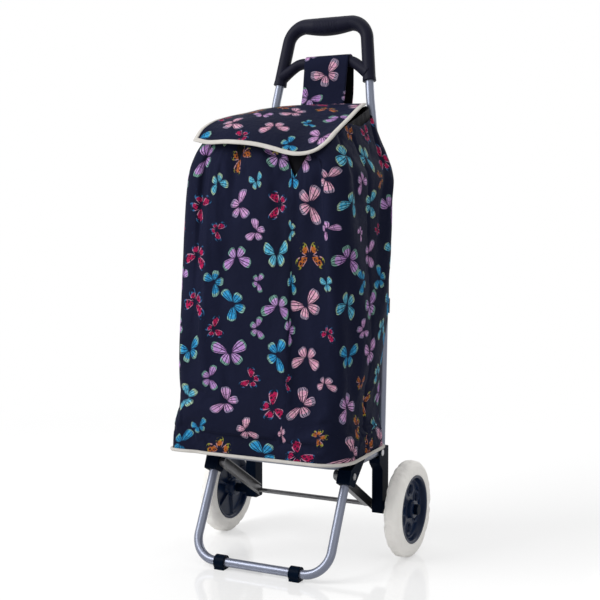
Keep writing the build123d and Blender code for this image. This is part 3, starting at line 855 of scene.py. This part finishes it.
def mouthTop(x, y, side):
    # the height at which the cloth ends: under the flap, lower at the right, open in the notch
    top = mouthHeight(y)
    low, high, notch = bag["lowEdge"], bag["highEdge"], bag["notch"]
    if side in ("right", "corner") and x > 0:
        top -= low["depth"] * ease(y, low["from"], low["to"])
    if x < 0 and side != "front":
        top += high["height"] * bump(y, high["y"], high["width"])
    if side == "front":
        top = min(top, notch["foot"] + abs(x - notch["x"]) / notch["opens"])
    return top


def meetMouth(column, top, share):
    # where one column of the outline meets the height that top gives, and that height
    z = 0.72
    for _ in range(12):
        spot = bagRing(z)[column]
        z = (1 - share) * z + share * top(spot)
    return spot, z


# The walls settle as cloth that is a little larger than its frame, held at the foot and the mouth.
settle = {
    "step": 2,
    "frames": 22,
    "growth": 0.022,
    "gravity": 0.3,
    "heldRows": 7,
    "cap": 0.0075,
    "back": 0.15,
    "smooth": 8,
    "cloth": {
        "quality": 6, "mass": 0.12, "tension_stiffness": 14.0, "compression_stiffness": 14.0,
        "shear_stiffness": 5.0, "bending_stiffness": 0.25, "vertex_group_mass": "held",
    },
}


def runCloth(grid):
    # the points of a closed grid after the simulation
    high, wide = grid.shape[:2]
    scene = bpy.context.scene
    mesh = bpy.data.meshes.new("settling")
    mesh.from_pydata(grid.reshape(-1, 3).tolist(), [], gridFaces(high, wide, True)[0])
    piece = addObject("settling", mesh)
    group = piece.vertex_groups.new(name="held")
    for r in range(high):
        near = min(r, high - 1 - r) / settle["heldRows"]
        weight = 1.0 if near == 0 else max(0.0, 0.8 * (1 - near))
        group.add(list(range(r * wide, (r + 1) * wide)), weight, "REPLACE")
    cloth = piece.modifiers.new("settling", "CLOTH")
    for key, value in settle["cloth"].items():
        setattr(cloth.settings, key, value)
    cloth.settings.shrink_min = -settle["growth"]
    cloth.settings.effector_weights.gravity = settle["gravity"]
    cloth.point_cache.frame_start, cloth.point_cache.frame_end = 1, settle["frames"]
    for tick in range(1, settle["frames"] + 1):
        scene.frame_set(tick)
    done = piece.evaluated_get(bpy.context.evaluated_depsgraph_get()).to_mesh()
    settled = np.empty(high * wide * 3)
    done.vertices.foreach_get("co", settled)
    scene.frame_set(1)
    bpy.data.objects.remove(piece)
    bpy.data.meshes.remove(mesh)
    return settled.reshape(high, wide, 3)


def settleCloth(grid):
    # each point's move, capped, from a coarser grid
    step = settle["step"]
    coarse = grid[::step, ::step]
    high, wide = coarse.shape[:2]
    move = runCloth(coarse) - coarse
    length = np.linalg.norm(move, axis=2, keepdims=True)
    print("bag settled by up to", float(length.max()), "mean", float(length.mean()))
    move *= settle["cap"] * np.tanh(length / settle["cap"]) / np.maximum(length, 1e-9)
    rows, columns = grid.shape[:2]
    ring = np.concatenate([move, move[:, :1]], 1)
    places, levels = np.arange(wide + 1) * step, np.arange(high) * step
    fine = np.empty((high, columns, 3))
    out = np.empty(grid.shape)
    for k in range(3):
        for r in range(high):
            fine[r, :, k] = np.interp(np.arange(columns), places, ring[r, :, k])
        for c in range(columns):
            out[:, c, k] = np.interp(np.arange(rows), levels, fine[:, c, k])
    return out


def bagWalls(order):
    columns, rows = len(order), bag["rows"]
    tops = [
        meetMouth(c, lambda spot: mouthTop(spot.x, spot.y, order[c][0]), 0.5)[1]
        for c in range(columns)
    ]
    foot = bag["levels"][0]
    rings, placed = {}, []
    for r in range(rows):
        for c, (side, across) in enumerate(order):
            z = foot + (tops[c] - foot) * (r / (rows - 1))
            key = round(z, 4)
            if key not in rings:
                rings[key] = bagRing(key)
            ring = rings[key]
            p, before, after = ring[c], ring[c - 1], ring[(c + 1) % columns]
            away = Vector((before.y - after.y, after.x - before.x)).normalized()
            out = bagFold(p.x, p.y, z, across, side)
            spot = Vector((p.x + away.x * out, p.y + away.y * out, z))
            placed.append(underFlap(spot, bag["underFlap"]))
    walls = np.array([tuple(p) for p in placed]).reshape(rows, columns, 3)
    loose = np.array([settle["back"] if side == "back" else 1.0 for side, _ in order])
    for _ in range(settle["smooth"]):
        loose = (loose + np.roll(loose, 1) + np.roll(loose, -1)) / 3
    walls += settleCloth(walls) * loose[None, :, None]
    return [Vector(p) for p in walls.reshape(-1, 3)]


def makeBag():
    order = []
    for side, count in bag["sides"].items():
        order += [("corner", 0.0)] * (bag["corner"] + 1)
        order += [(side, k / count) for k in range(1, count)]
    columns, rows = len(order), bag["rows"]
    placed = bagWalls(order)
    middle = rows // 2 * columns
    lengths = runLengths(placed[middle:middle + columns], closed=True)
    faces, corners = gridFaces(rows, columns, True)
    cloth = [(lengths[c], placed[r * columns + c % columns].z) for r, c in corners]
    # rings towards the middle of the foot close the shell
    foot, starts, closing = placed[:columns], [0], []
    centre = sum(foot, Vector()) / columns
    for k in range(1, bag["footRings"]):
        starts.append(len(placed))
        placed += [p.lerp(centre, k / bag["footRings"]) for p in foot]
    placed.append(centre)
    turn = [(c, (c + 1) % columns) for c in range(columns)]
    for low, high in zip(starts, starts[1:]):
        closing += [(low + d, low + c, high + c, high + d) for c, d in turn]
    closing += [(starts[-1] + d, starts[-1] + c, len(placed) - 1) for c, d in turn]
    cloth += [(placed[i].x, placed[i].y) for face in closing for i in face]
    faces += closing
    shell = makePiece("bag_shell", placed, faces, "chassis", "printed_fabric", cloth)
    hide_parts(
        "bag_front_panel", "bag_front_yoke", "bag_front_corner_left",
        "bag_front_corner_right", "bag_side_panel_left", "bag_side_panel_right",
        "bag_back_panel", "bag_bottom_panel",
    )
    around, high = cutSize(placed[:rows * columns], rows, columns, True)
    size, area = (around, high + bag["footDepth"]), clothArea(shell)
    makeCloth(shell, bag["thickness"], lambda spot: Vector((spot.x, spot.y, -0.1)))
    print("bag cut", size, area)
    ends = [meetMouth(c, lambda spot: mouthHeight(spot.y), 1.0) for c in range(columns)]
    return shell, foot, [Vector((spot.x, spot.y, z)) for spot, z in ends]


bagShell, bagFoot, bagMouth = makeBag()
print("bag shell made")


# Piping, collar, eyelets and base board of the bag

trim = {
    "piping": {"radius": 0.0028, "out": 0.75, "around": 12},
    "collarRows": 12,
    "collarDrop": 0.060,
    "collarInset": 0.0024,
    "collarFlare": 0.16,
    "collarWave": 0.0004,
    "collarWaves": 0.9,
    "collarThickness": 0.0008,
    "boardInset": 0.006,
    "boardZ": 0.1898,
    "boardThickness": 0.003,
}


def ringOut(ring, out, z=0.0):
    # the same ring, moved outwards by out
    moved = []
    for before, p, after in neighbours(ring, closed=True):
        away = Vector((before.y - after.y, after.x - before.x, 0)).normalized()
        moved.append(p + away * out + Vector((0, 0, z)))
    return moved


def makePiping():
    radius, around = trim["piping"]["radius"], trim["piping"]["around"]
    ring = ringOut(bagFoot, radius * trim["piping"]["out"], radius)
    frames = []
    for before, p, after in neighbours(ring, closed=True):
        way = (after - before).normalized()
        side = way.cross(Vector((0, 0, 1))).normalized()
        frames.append((p, side, side.cross(way).normalized()))
    turns = [2 * math.pi * k / around for k in range(around)]
    outline = [(radius * math.cos(turn), radius * math.sin(turn)) for turn in turns]
    points, faces, corners = sweep(frames, lambda i: outline, loop=True)
    lengths = runLengths(ring, closed=True)
    cloth = [(lengths[r], c * turns[1] * radius) for r, c in corners]
    cord = makePiece("bag_piping", points, faces, "chassis", "cream_piping", cloth, flip=True)
    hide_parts("bag_bottom_piping")
    return cord


def makeCollar():
    # black cloth inside the mouth, seen in the notch and over the mouth's low right edge
    rows, points = trim["collarRows"], []
    for k in range(rows):
        drop = trim["collarDrop"] * k / (rows - 1)
        for c, p in enumerate(ringOut(bagMouth, -trim["collarInset"], -drop)):
            out = Vector((p.x, p.y, 0)).normalized()
            fade = 1 - drop / trim["collarDrop"]
            wave = trim["collarWave"] * math.sin(c * trim["collarWaves"]) * fade
            spot = p + out * (drop * trim["collarFlare"] + wave)
            points.append(underFlap(spot, bag["underFlap"] * 0.8))
    made, size, area = makeSheet(
        "bag_lining_collar", points, rows, "chassis", "lining_fabric",
        lambda r, c: (0.006 * c, 0.005 * r), closed=True,
    )
    thicken(made, thickness=trim["collarThickness"], offset=0)
    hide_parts("bag_collar")
    print("collar cut", size, area)
    return made


def makeEyelets():
    # the collar's eyelets, as a piece of their own
    node = nodes["collar_eyelets"]
    points = [node.matrix_world @ v.co for v in node.data.vertices]
    faces = [tuple(face.vertices) for face in node.data.polygons]
    rings = makePiece("eyelet_rings", points, faces, "chassis", "eyelet_brass", smooth=False)
    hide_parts("collar_eyelets")
    return rings


def makeBoard():
    ring = ringOut(bagFoot, -trim["boardInset"])
    count = len(ring)
    points = [Vector((p.x, p.y, trim["boardZ"])) for p in ring]
    points += [p + Vector((0, 0, trim["boardThickness"])) for p in points]
    faces = [tuple(reversed(range(count))), tuple(range(count, 2 * count))]
    faces += gridFaces(2, count, True)[0]
    made = makePiece("base_board", points, faces, "chassis", "board_plastic", smooth=False)
    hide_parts("bag_base_board")
    return made


piping, collar, eyelets, board = makePiping(), makeCollar(), makeEyelets(), makeBoard()
print("bag trim made")


# Hanging tab over the crossbar

tab = {
    "half": 0.0425,
    "footShift": -0.0004,
    "topShift": 0.0067,
    "foot": 0.742,
    "footY": 0.0925,
    "barY": 0.1129,
    "barZ": 0.8543,
    "reach": 0.0122,
    "waist": 0.02,
    "ripple": 0.0012,
    "thickness": 0.0016,
    "columns": 26,
    "rows": 80,
    "cut": (2.31, 0.91),
}


def tabPath():
    # up the front, over the bar and down behind, as (y, z)
    barY, barZ, reach = tab["barY"], tab["barZ"], tab["reach"]
    foot, footY = tab["foot"], tab["footY"]
    front = [
        (footY - 0.0016, foot), (footY - 0.0008, 0.765),
        (barY - reach - 0.003, 0.800), (barY - reach - 0.001, 0.835),
    ]
    turns = [math.radians(a) for a in range(180, 0, -25)]
    over = [(barY + reach * math.cos(a), barZ + reach * math.sin(a)) for a in turns]
    rear = [
        (barY + reach + 0.001, 0.835), (barY + reach + 0.001, 0.800),
        (barY + 0.005, 0.770), (footY + 0.0035, foot),
    ]
    return alongCurve([(0, *p) for p in front + over + rear], tab["rows"])


def makeTab():
    path, columns = tabPath(), tab["columns"]
    top = int(np.argmax(path[:, 2]))
    points = []
    for i, (before, spot, after) in enumerate(neighbours(path)):
        _, y, z = spot
        out = Vector((0, before[2] - after[2], after[1] - before[1])).normalized() * -1
        share = limit((z - tab["foot"]) / (tab["barZ"] - tab["foot"]))
        shift = tab["topShift"]
        if i < top:
            shift = tab["footShift"] + (tab["topShift"] - tab["footShift"]) * share
        free = min(1.0, abs(z - tab["barZ"]) / 0.03)
        for c in range(columns):
            across = 2 * c / (columns - 1) - 1
            x = shift + tab["half"] * across * (1 - tab["waist"] * math.sin(math.pi * share))
            ripple = tab["ripple"] * noise.noise(Vector((x * 22, z * 16, y * 20)))
            points.append(Vector((x, y, z)) + out * ripple * free)
    runs, (toX, toY), middle = runLengths(path), tab["cut"], tab["barY"] - 0.003
    strap, size, area = makeSheet(
        "hanging_tab_cloth", points, len(path), "chassis", "printed_fabric",
        lambda r, c: (tab["half"] * 2 * c / (columns - 1) + toX, runs[r] + toY),
    )
    makeCloth(strap, tab["thickness"], lambda spot: Vector((0, spot.y - middle, 0)))
    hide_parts("hanging_tab")
    print("tab cut", size, area)


makeTab()


# Webbing loops round the uprights

loop = {
    "z": 0.430,
    "x": 0.1255,
    "lean": 0.0444,
    "height": 0.025,
    "radius": 0.0086,
    "reach": 0.0128,
    "tail": 0.016,
    "thickness": 0.0013,
    "columns": 64,
    "rows": 5,
}


def makeLoop(side, label):
    radius, reach, rows = loop["radius"], loop["reach"], loop["rows"]
    turns = [math.radians(a) for a in range(-60, 241, 12)]
    outline = [(loop["tail"], 0.0006 - reach), (radius * 0.9, 0.0012 - reach)]
    outline += [(radius * math.cos(a), radius * math.sin(a)) for a in turns]
    outline += [(-radius * 0.9, 0.0012 - reach), (-loop["tail"], 0.0006 - reach)]
    path = alongCurve([(x, y, 0) for x, y in outline], loop["columns"])
    middleX, middleY = side * loop["x"], uprightBack(loop["z"])
    points = []
    for r in range(rows):
        rise = loop["height"] * (r / (rows - 1) - 0.5)
        back = loop["lean"] * rise
        points += [Vector((middleX + x, middleY + y + back, loop["z"] + rise)) for x, y, _ in path]
    strap, size, area = makeSheet(
        f"webbing_strap_{label}", points, rows, "chassis", "lining_fabric",
        lambda r, c: (0.0012 * c, 0.006 * r),
    )
    thicken(strap, thickness=loop["thickness"], offset=0)
    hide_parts(f"webbing_loop_{label}")
    print("strap cut", size, area)


makeLoop(-1, "left")
makeLoop(1, "right")
print("tab and loops made")


# Handle: a loop that swells into the grip, and a crossbar that grows out of its legs

handle = {
    "middle": (0.10575, 0.817),
    "lean": math.atan(0.19),
    "taper": 0.14,
    "half": 0.0878,
    "height": 0.107,
    "corner": 0.034,
    "legRadius": 0.0113,
    "foot": {"radius": 0.0119, "length": 0.007},
    "grip": {"half": 0.046, "end": 0.0134, "radius": 0.0162, "fades": 0.045},
    "ribs": {"half": 0.026, "pitch": 0.0030, "depth": 0.0006, "fades": 0.004},
    "bar": {
        "radius": 0.0096, "flare": 0.0030, "flareLength": 0.026, "height": 0.038,
        "half": 0.052, "drop": 0.024, "corner": 0.030, "step": 0.002,
    },
    "around": 40,
}


def roundedRoute(corners, radius, step):
    # points along straight runs joined by arcs, in a plane
    corners = [Vector(c) for c in corners]
    runs, start = [], corners[0]
    for before, corner, after in zip(corners, corners[1:], corners[2:]):
        back, ahead = (before - corner).normalized(), (after - corner).normalized()
        half = back.angle(ahead) / 2
        reach = radius / math.tan(half)
        middle = corner + (back + ahead).normalized() * radius / math.sin(half)
        enter, leave = corner + back * reach, corner + ahead * reach
        runs.append([start, enter])
        steps = max(6, int(radius * (math.pi - 2 * half) / step))
        arc = [enter]
        for k in range(1, steps):
            share = 0.5 - 0.5 * math.cos(math.pi * k / steps)
            spoke = (enter - middle).lerp(leave - middle, share)
            arc.append(middle + spoke.normalized() * radius)
        runs.append(arc + [leave])
        start = leave
    runs.append([start, corners[-1]])
    route = [runs[0][0]]
    for run in runs:
        for a, b in zip(run, run[1:]):
            count = max(1, int((b - a).length / step))
            route += [a.lerp(b, k / count) for k in range(1, count + 1)]
    return route


def skin(route, reachAt):
    # a round skin along a route in the handle's plane, with its radius at each point and side
    y0, z0 = handle["middle"]
    sin, cos = math.sin(handle["lean"]), math.cos(handle["lean"])
    rise, front = Vector((0, sin, cos)), Vector((0, -cos, sin))
    frames = []
    for before, spot, after in neighbours(route):
        way = (after - before).normalized()
        middle = Vector((spot.x, y0, z0)) + rise * spot.y
        frames.append((middle, Vector((way.y, 0, 0)) - rise * way.x, front))
    turns = [2 * math.pi * k / handle["around"] for k in range(handle["around"])]

    def outline(i):
        reaches = [reachAt(i, math.sin(turn)) for turn in turns]
        return [(r * math.cos(turn), r * math.sin(turn)) for r, turn in zip(reaches, turns)]

    return sweep(frames, outline)[:2]


def makeHandle():
    half, height, taper = handle["half"], handle["height"], handle["taper"]
    grip, ribs, bar, foot = handle["grip"], handle["ribs"], handle["bar"], handle["foot"]
    topX = half - taper * height
    outline = [(-half, 0), (-topX, height), (topX, height), (half, 0)]
    route = roundedRoute(outline, handle["corner"], ribs["pitch"] / 5)
    runs = runLengths(route)
    middle, radii = runs[-1] / 2, []
    for i, run in enumerate(runs):
        away = abs(run - middle)
        inGrip = max(0.0, 1 - (away / grip["half"]) ** 2)
        swell = (grip["radius"] - grip["end"]) * inGrip ** 1.3
        fade = ease(away, grip["half"] * 0.9, grip["half"] * 0.9 + grip["fades"])
        base = grip["end"] + (handle["legRadius"] - grip["end"]) * fade
        end = max(0.0, 1 - (middle - away) / foot["length"])
        radii.append(base + swell + (foot["radius"] - handle["legRadius"]) * end ** 0.5)
        route[i] = route[i] - Vector((0, swell))

    def ribbed(i, facing):
        away = abs(runs[i] - middle)
        fade = limit((ribs["half"] - away) / ribs["fades"]) * limit((facing + 0.25) / 0.5)
        wave = 0.5 - 0.5 * math.cos(2 * math.pi * away / ribs["pitch"])
        return radii[i] - ribs["depth"] * fade * wave

    points, faces = skin(route, ribbed)
    barFoot = bar["height"] - bar["drop"]
    barEnd = half - taper * barFoot
    outline = [
        (-barEnd, barFoot), (-bar["half"], bar["height"]),
        (bar["half"], bar["height"]), (barEnd, barFoot),
    ]
    barRoute = roundedRoute(outline, bar["corner"], bar["step"])

    def flared(i, facing):
        near = max(0.0, 1 - (barEnd - abs(barRoute[i].x)) / bar["flareLength"])
        return bar["radius"] + bar["flare"] * near * near

    barPoints, barFaces = skin(barRoute, flared)
    faces += [tuple(len(points) + i for i in face) for face in barFaces]
    shell = makePiece("handle_shell", points + barPoints, faces, "chassis", "handle_plastic")
    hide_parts("handle_moulding")


makeHandle()
print("handle made")


# Wheels: foam tyres with the dents of a soft tread, on dished rims

axle = {"y": 0.06775, "z": 0.0825}

tyre = {
    "radius": 0.0825,
    "seat": 0.0580,
    "width": 0.028,
    "round": 0.0105,
    "around": 180,
    "middle": 0.1795,
    "wear": {"from": 0.004, "over": 0.010, "squeeze": 0.10, "floor": 0.03},
    "dent": {"deep": 0.0026, "across": 50, "round": 7.5, "shift": 0.08},
    "nick": {"deep": 0.0009, "across": 130, "round": 13, "shift": 0.0},
}


def wheelFrames(around):
    # the turn of each spoke, and frames for rings of (x, distance from the axle)
    hub, out = Vector((0, axle["y"], axle["z"])), Vector((1, 0, 0))
    turns = [2 * math.pi * k / around for k in range(around)]
    return turns, [(hub, out, Vector((0, math.cos(t), math.sin(t)))) for t in turns]


def makeTyre(side, label, seed):
    half, edge, seat, rounding = tyre["width"] / 2, tyre["radius"], tyre["seat"], tyre["round"]
    profile = [
        (-half + 0.0012, seat), (-half + 0.0003, seat + 0.0020),
        (-half, seat + 0.005), (-half, seat + 0.009),
    ]
    for turn in np.radians(np.linspace(180, 90, 11)):
        along, up = 1 + math.cos(turn), math.sin(turn) - 1
        profile.append((-half + rounding * along, edge + rounding * up))
    profile.append((0.0, edge))
    profile += [(-a, r) for a, r in reversed(profile[:-1])]
    turns, frames = wheelFrames(tyre["around"])
    wear = tyre["wear"]

    def dents(kind, a, turn):
        how, reach = tyre[kind], tyre[kind]["round"]
        place = (a * how["across"] + seed, math.cos(turn) * reach, math.sin(turn) * reach)
        return max(0.0, noise.noise(Vector(place)) + how["shift"])

    def outline(i):
        turn, ring = turns[i], []
        onFloor = max(0.0, wear["floor"] - math.sin(turn) - 1) / wear["floor"]
        for a, r in profile:
            worn = limit((r - seat - wear["from"]) / wear["over"]) * (1 - onFloor)
            broad, fine = dents("dent", a, turn), dents("nick", a, turn)
            reach = r - worn * (tyre["dent"]["deep"] * broad + tyre["nick"]["deep"] * fine)
            wide = a * (1 - wear["squeeze"] * worn * broad)
            ring.append((side * tyre["middle"] + wide, reach))
        return ring

    points, faces, _ = sweep(frames, outline, loop=True)
    ring = makePiece(f"foam_tyre_{label}", points, faces, f"wheel_{label}", "tyre_foam")
    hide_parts(f"tyre_{label}")


rim = {
    "outerX": 0.193,
    "width": 0.027,
    "hubWidth": 0.034,
    "bore": 0.00805,
    "hub": 0.0140,
    "hubFoot": 0.0170,
    "wallFoot": 0.0500,
    "wallTop": 0.0545,
    "radius": 0.0580,
    "lip": 0.0004,
    "web": 0.0110,
    "innerWeb": 0.0190,
    "pockets": {"count": 6, "ring": 0.0335, "radius": 0.0082, "soft": 0.0016, "depth": 0.0055},
    "ridge": {"out": 0.0107, "wide": 0.0017, "high": 0.0019},
    "spoke": {"wide": 0.0011, "high": 0.0045},
    "around": 240,
    "outerSteps": 64,
    "innerSteps": 34,
}


def rimDepth(r, angle, outer):
    # how far in from the outer face the rim's skin lies
    hub = 1 - ease(r, rim["hub"], rim["hubFoot"])
    wall = ease(r, rim["wallFoot"], rim["wallTop"])
    flat = (1 - hub) * (1 - wall)
    pockets, ridge, spoke = rim["pockets"], rim["ridge"], rim["spoke"]
    turn = 2 * math.pi / pockets["count"]
    nearest = (angle + turn / 2) % turn - turn / 2
    if not outer:
        depth = rim["innerWeb"] + (rim["hubWidth"] - rim["innerWeb"]) * hub
        depth += (rim["width"] - rim["innerWeb"]) * wall
        return depth + spoke["high"] * bump((abs(nearest) - turn / 2) * r, 0, spoke["wide"]) * flat
    depth = rim["web"] * flat
    depth += rim["lip"] * wall * (1 - ease(r, rim["wallTop"], rim["radius"]))
    off = math.hypot(r * math.cos(nearest) - pockets["ring"], r * math.sin(nearest))
    sunk = 1 - ease(off, pockets["radius"] - pockets["soft"], pockets["radius"])
    depth += pockets["depth"] * sunk * flat
    return depth - ridge["high"] * bump(off, ridge["out"], ridge["wide"]) * flat


def makeRim(side, label, start):
    stations = [(r, True) for r in np.linspace(rim["bore"], rim["radius"], rim["outerSteps"])]
    stations += [(r, False) for r in np.linspace(rim["radius"], rim["bore"], rim["innerSteps"])]
    turns, frames = wheelFrames(rim["around"])

    def outline(i):
        depths = [rimDepth(r, turns[i] + start, outer) for r, outer in stations]
        return [(side * (rim["outerX"] - d), r) for d, (r, _) in zip(depths, stations)]

    points, faces, _ = sweep(frames, outline, loop=True)
    if side < 0:
        faces = [face[::-1] for face in faces]
    dish = makePiece(f"dished_rim_{label}", points, faces, f"wheel_{label}", "rim_plastic")
    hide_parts(f"wheel_rim_{label}")


for wheelSide, wheelLabel, wheelSeed in ((-1, "left", 2.0), (1, "right", 9.0)):
    makeTyre(wheelSide, wheelLabel, wheelSeed)
    makeRim(wheelSide, wheelLabel, wheelSeed)
print("wheels made")


# Finishes of the CAD nodes that stay

for node in nodes.values():
    slotName = node.data.materials[0].name.split(".")[0]
    for slot in node.material_slots:
        slot.material = finishes[slotName]


# Studio: pale floor, white surroundings and soft lamps

studio = {
    "world": 0.40,
    "floor": {
        "half": 9.0, "lit": 0.42, "bounce": 0.8, "glow": 0.97, "rough": 0.07, "gloss": 0.17,
        "fades": (0.9, 1.7),
    },
    "aim": (0, 0, 0.45),
    "lamps": [
        ("keyLamp", (-1.7, -1.9, 2.1), 1.8, 84),
        ("fillLamp", (2.2, -1.4, 1.3), 1.8, 6),
        ("topLamp", (0.0, 0.3, 2.6), 2.0, 18),
        ("rearLamp", (0.6, 2.2, 1.6), 1.6, 16),
    ],
}


def seenOrLit(finish, seen, lit, output):
    # camera, glossy and transmission rays see the first shader, and light meets the second
    rays = finish.raw("ShaderNodeLightPath", {}, {})
    viewer = Wire(finish, rays.outputs["Is Camera Ray"])
    for name in ("Is Glossy Ray", "Is Transmission Ray"):
        viewer = viewer.most(Wire(finish, rays.outputs[name]))
    pick = finish.add("ShaderNodeMixShader", {}, {0: viewer, 1: lit, 2: seen})
    finish.feed(finish.tree.nodes[output].inputs["Surface"], pick)


def grey(level):
    return (level, level, level, 1)


def makeWorld():
    sky = Finish(bpy.data.worlds.new("studio"))
    bpy.context.scene.world = sky.owner
    dim, plain = [
        sky.add("ShaderNodeBackground", {}, {"Color": grey(1), "Strength": strength})
        for strength in (studio["world"], 1.0)
    ]
    seenOrLit(sky, plain, dim, "World Output")


def makeFloor():
    how, finish = studio["floor"], newFinish("floorPaint")
    near, beyond = how["fades"]
    settings = {"operation": "LENGTH"}
    far = finish.add("ShaderNodeVectorMath", settings, {0: finish.place()}, "Value")
    matt = finish.add("ShaderNodeBsdfDiffuse", {}, {"Color": grey(how["lit"])})
    glow = finish.add("ShaderNodeEmission", {}, {"Strength": 1 - how["lit"] * how["glow"]})
    pale = finish.add("ShaderNodeAddShader", {}, {0: matt, 1: glow})
    gloss = finish.add("ShaderNodeBsdfGlossy", {}, {"Roughness": how["rough"]})
    wet = finish.add("ShaderNodeMixShader", {}, {0: how["gloss"], 1: pale, 2: gloss})
    white = finish.add("ShaderNodeEmission", {}, {})
    values = {0: far.above(near, beyond - near), 1: wet, 2: white}
    faded = finish.add("ShaderNodeMixShader", {}, values)
    bounce = finish.add("ShaderNodeBsdfDiffuse", {}, {"Color": grey(how["bounce"])})
    seenOrLit(finish, faded, bounce, "Material Output")
    mesh, half = bpy.data.meshes.new("floor"), how["half"]
    corners = [(-half, -half, 0), (half, -half, 0), (half, half, 0), (-half, half, 0)]
    mesh.from_pydata(corners, [], [(0, 1, 2, 3)])
    mesh.materials.append(finish.owner)
    addObject("floor", mesh)


makeWorld()
makeFloor()
for name, place, size, power in studio["lamps"]:
    lamp = addObject(name, bpy.data.lights.new(name, "AREA"))
    lamp.data.size = size
    lamp.data.energy = power
    lamp.location = place
    aim = Vector(studio["aim"]) - Vector(place)
    lamp.rotation_euler = aim.to_track_quat("-Z", "Y").to_euler()
print("studio made")


# The bag, its trim and its flap each get a mesh of their own

for piece in (bagShell, piping, board, collar, eyelets, flapSheet, flapTape):
    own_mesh(piece)
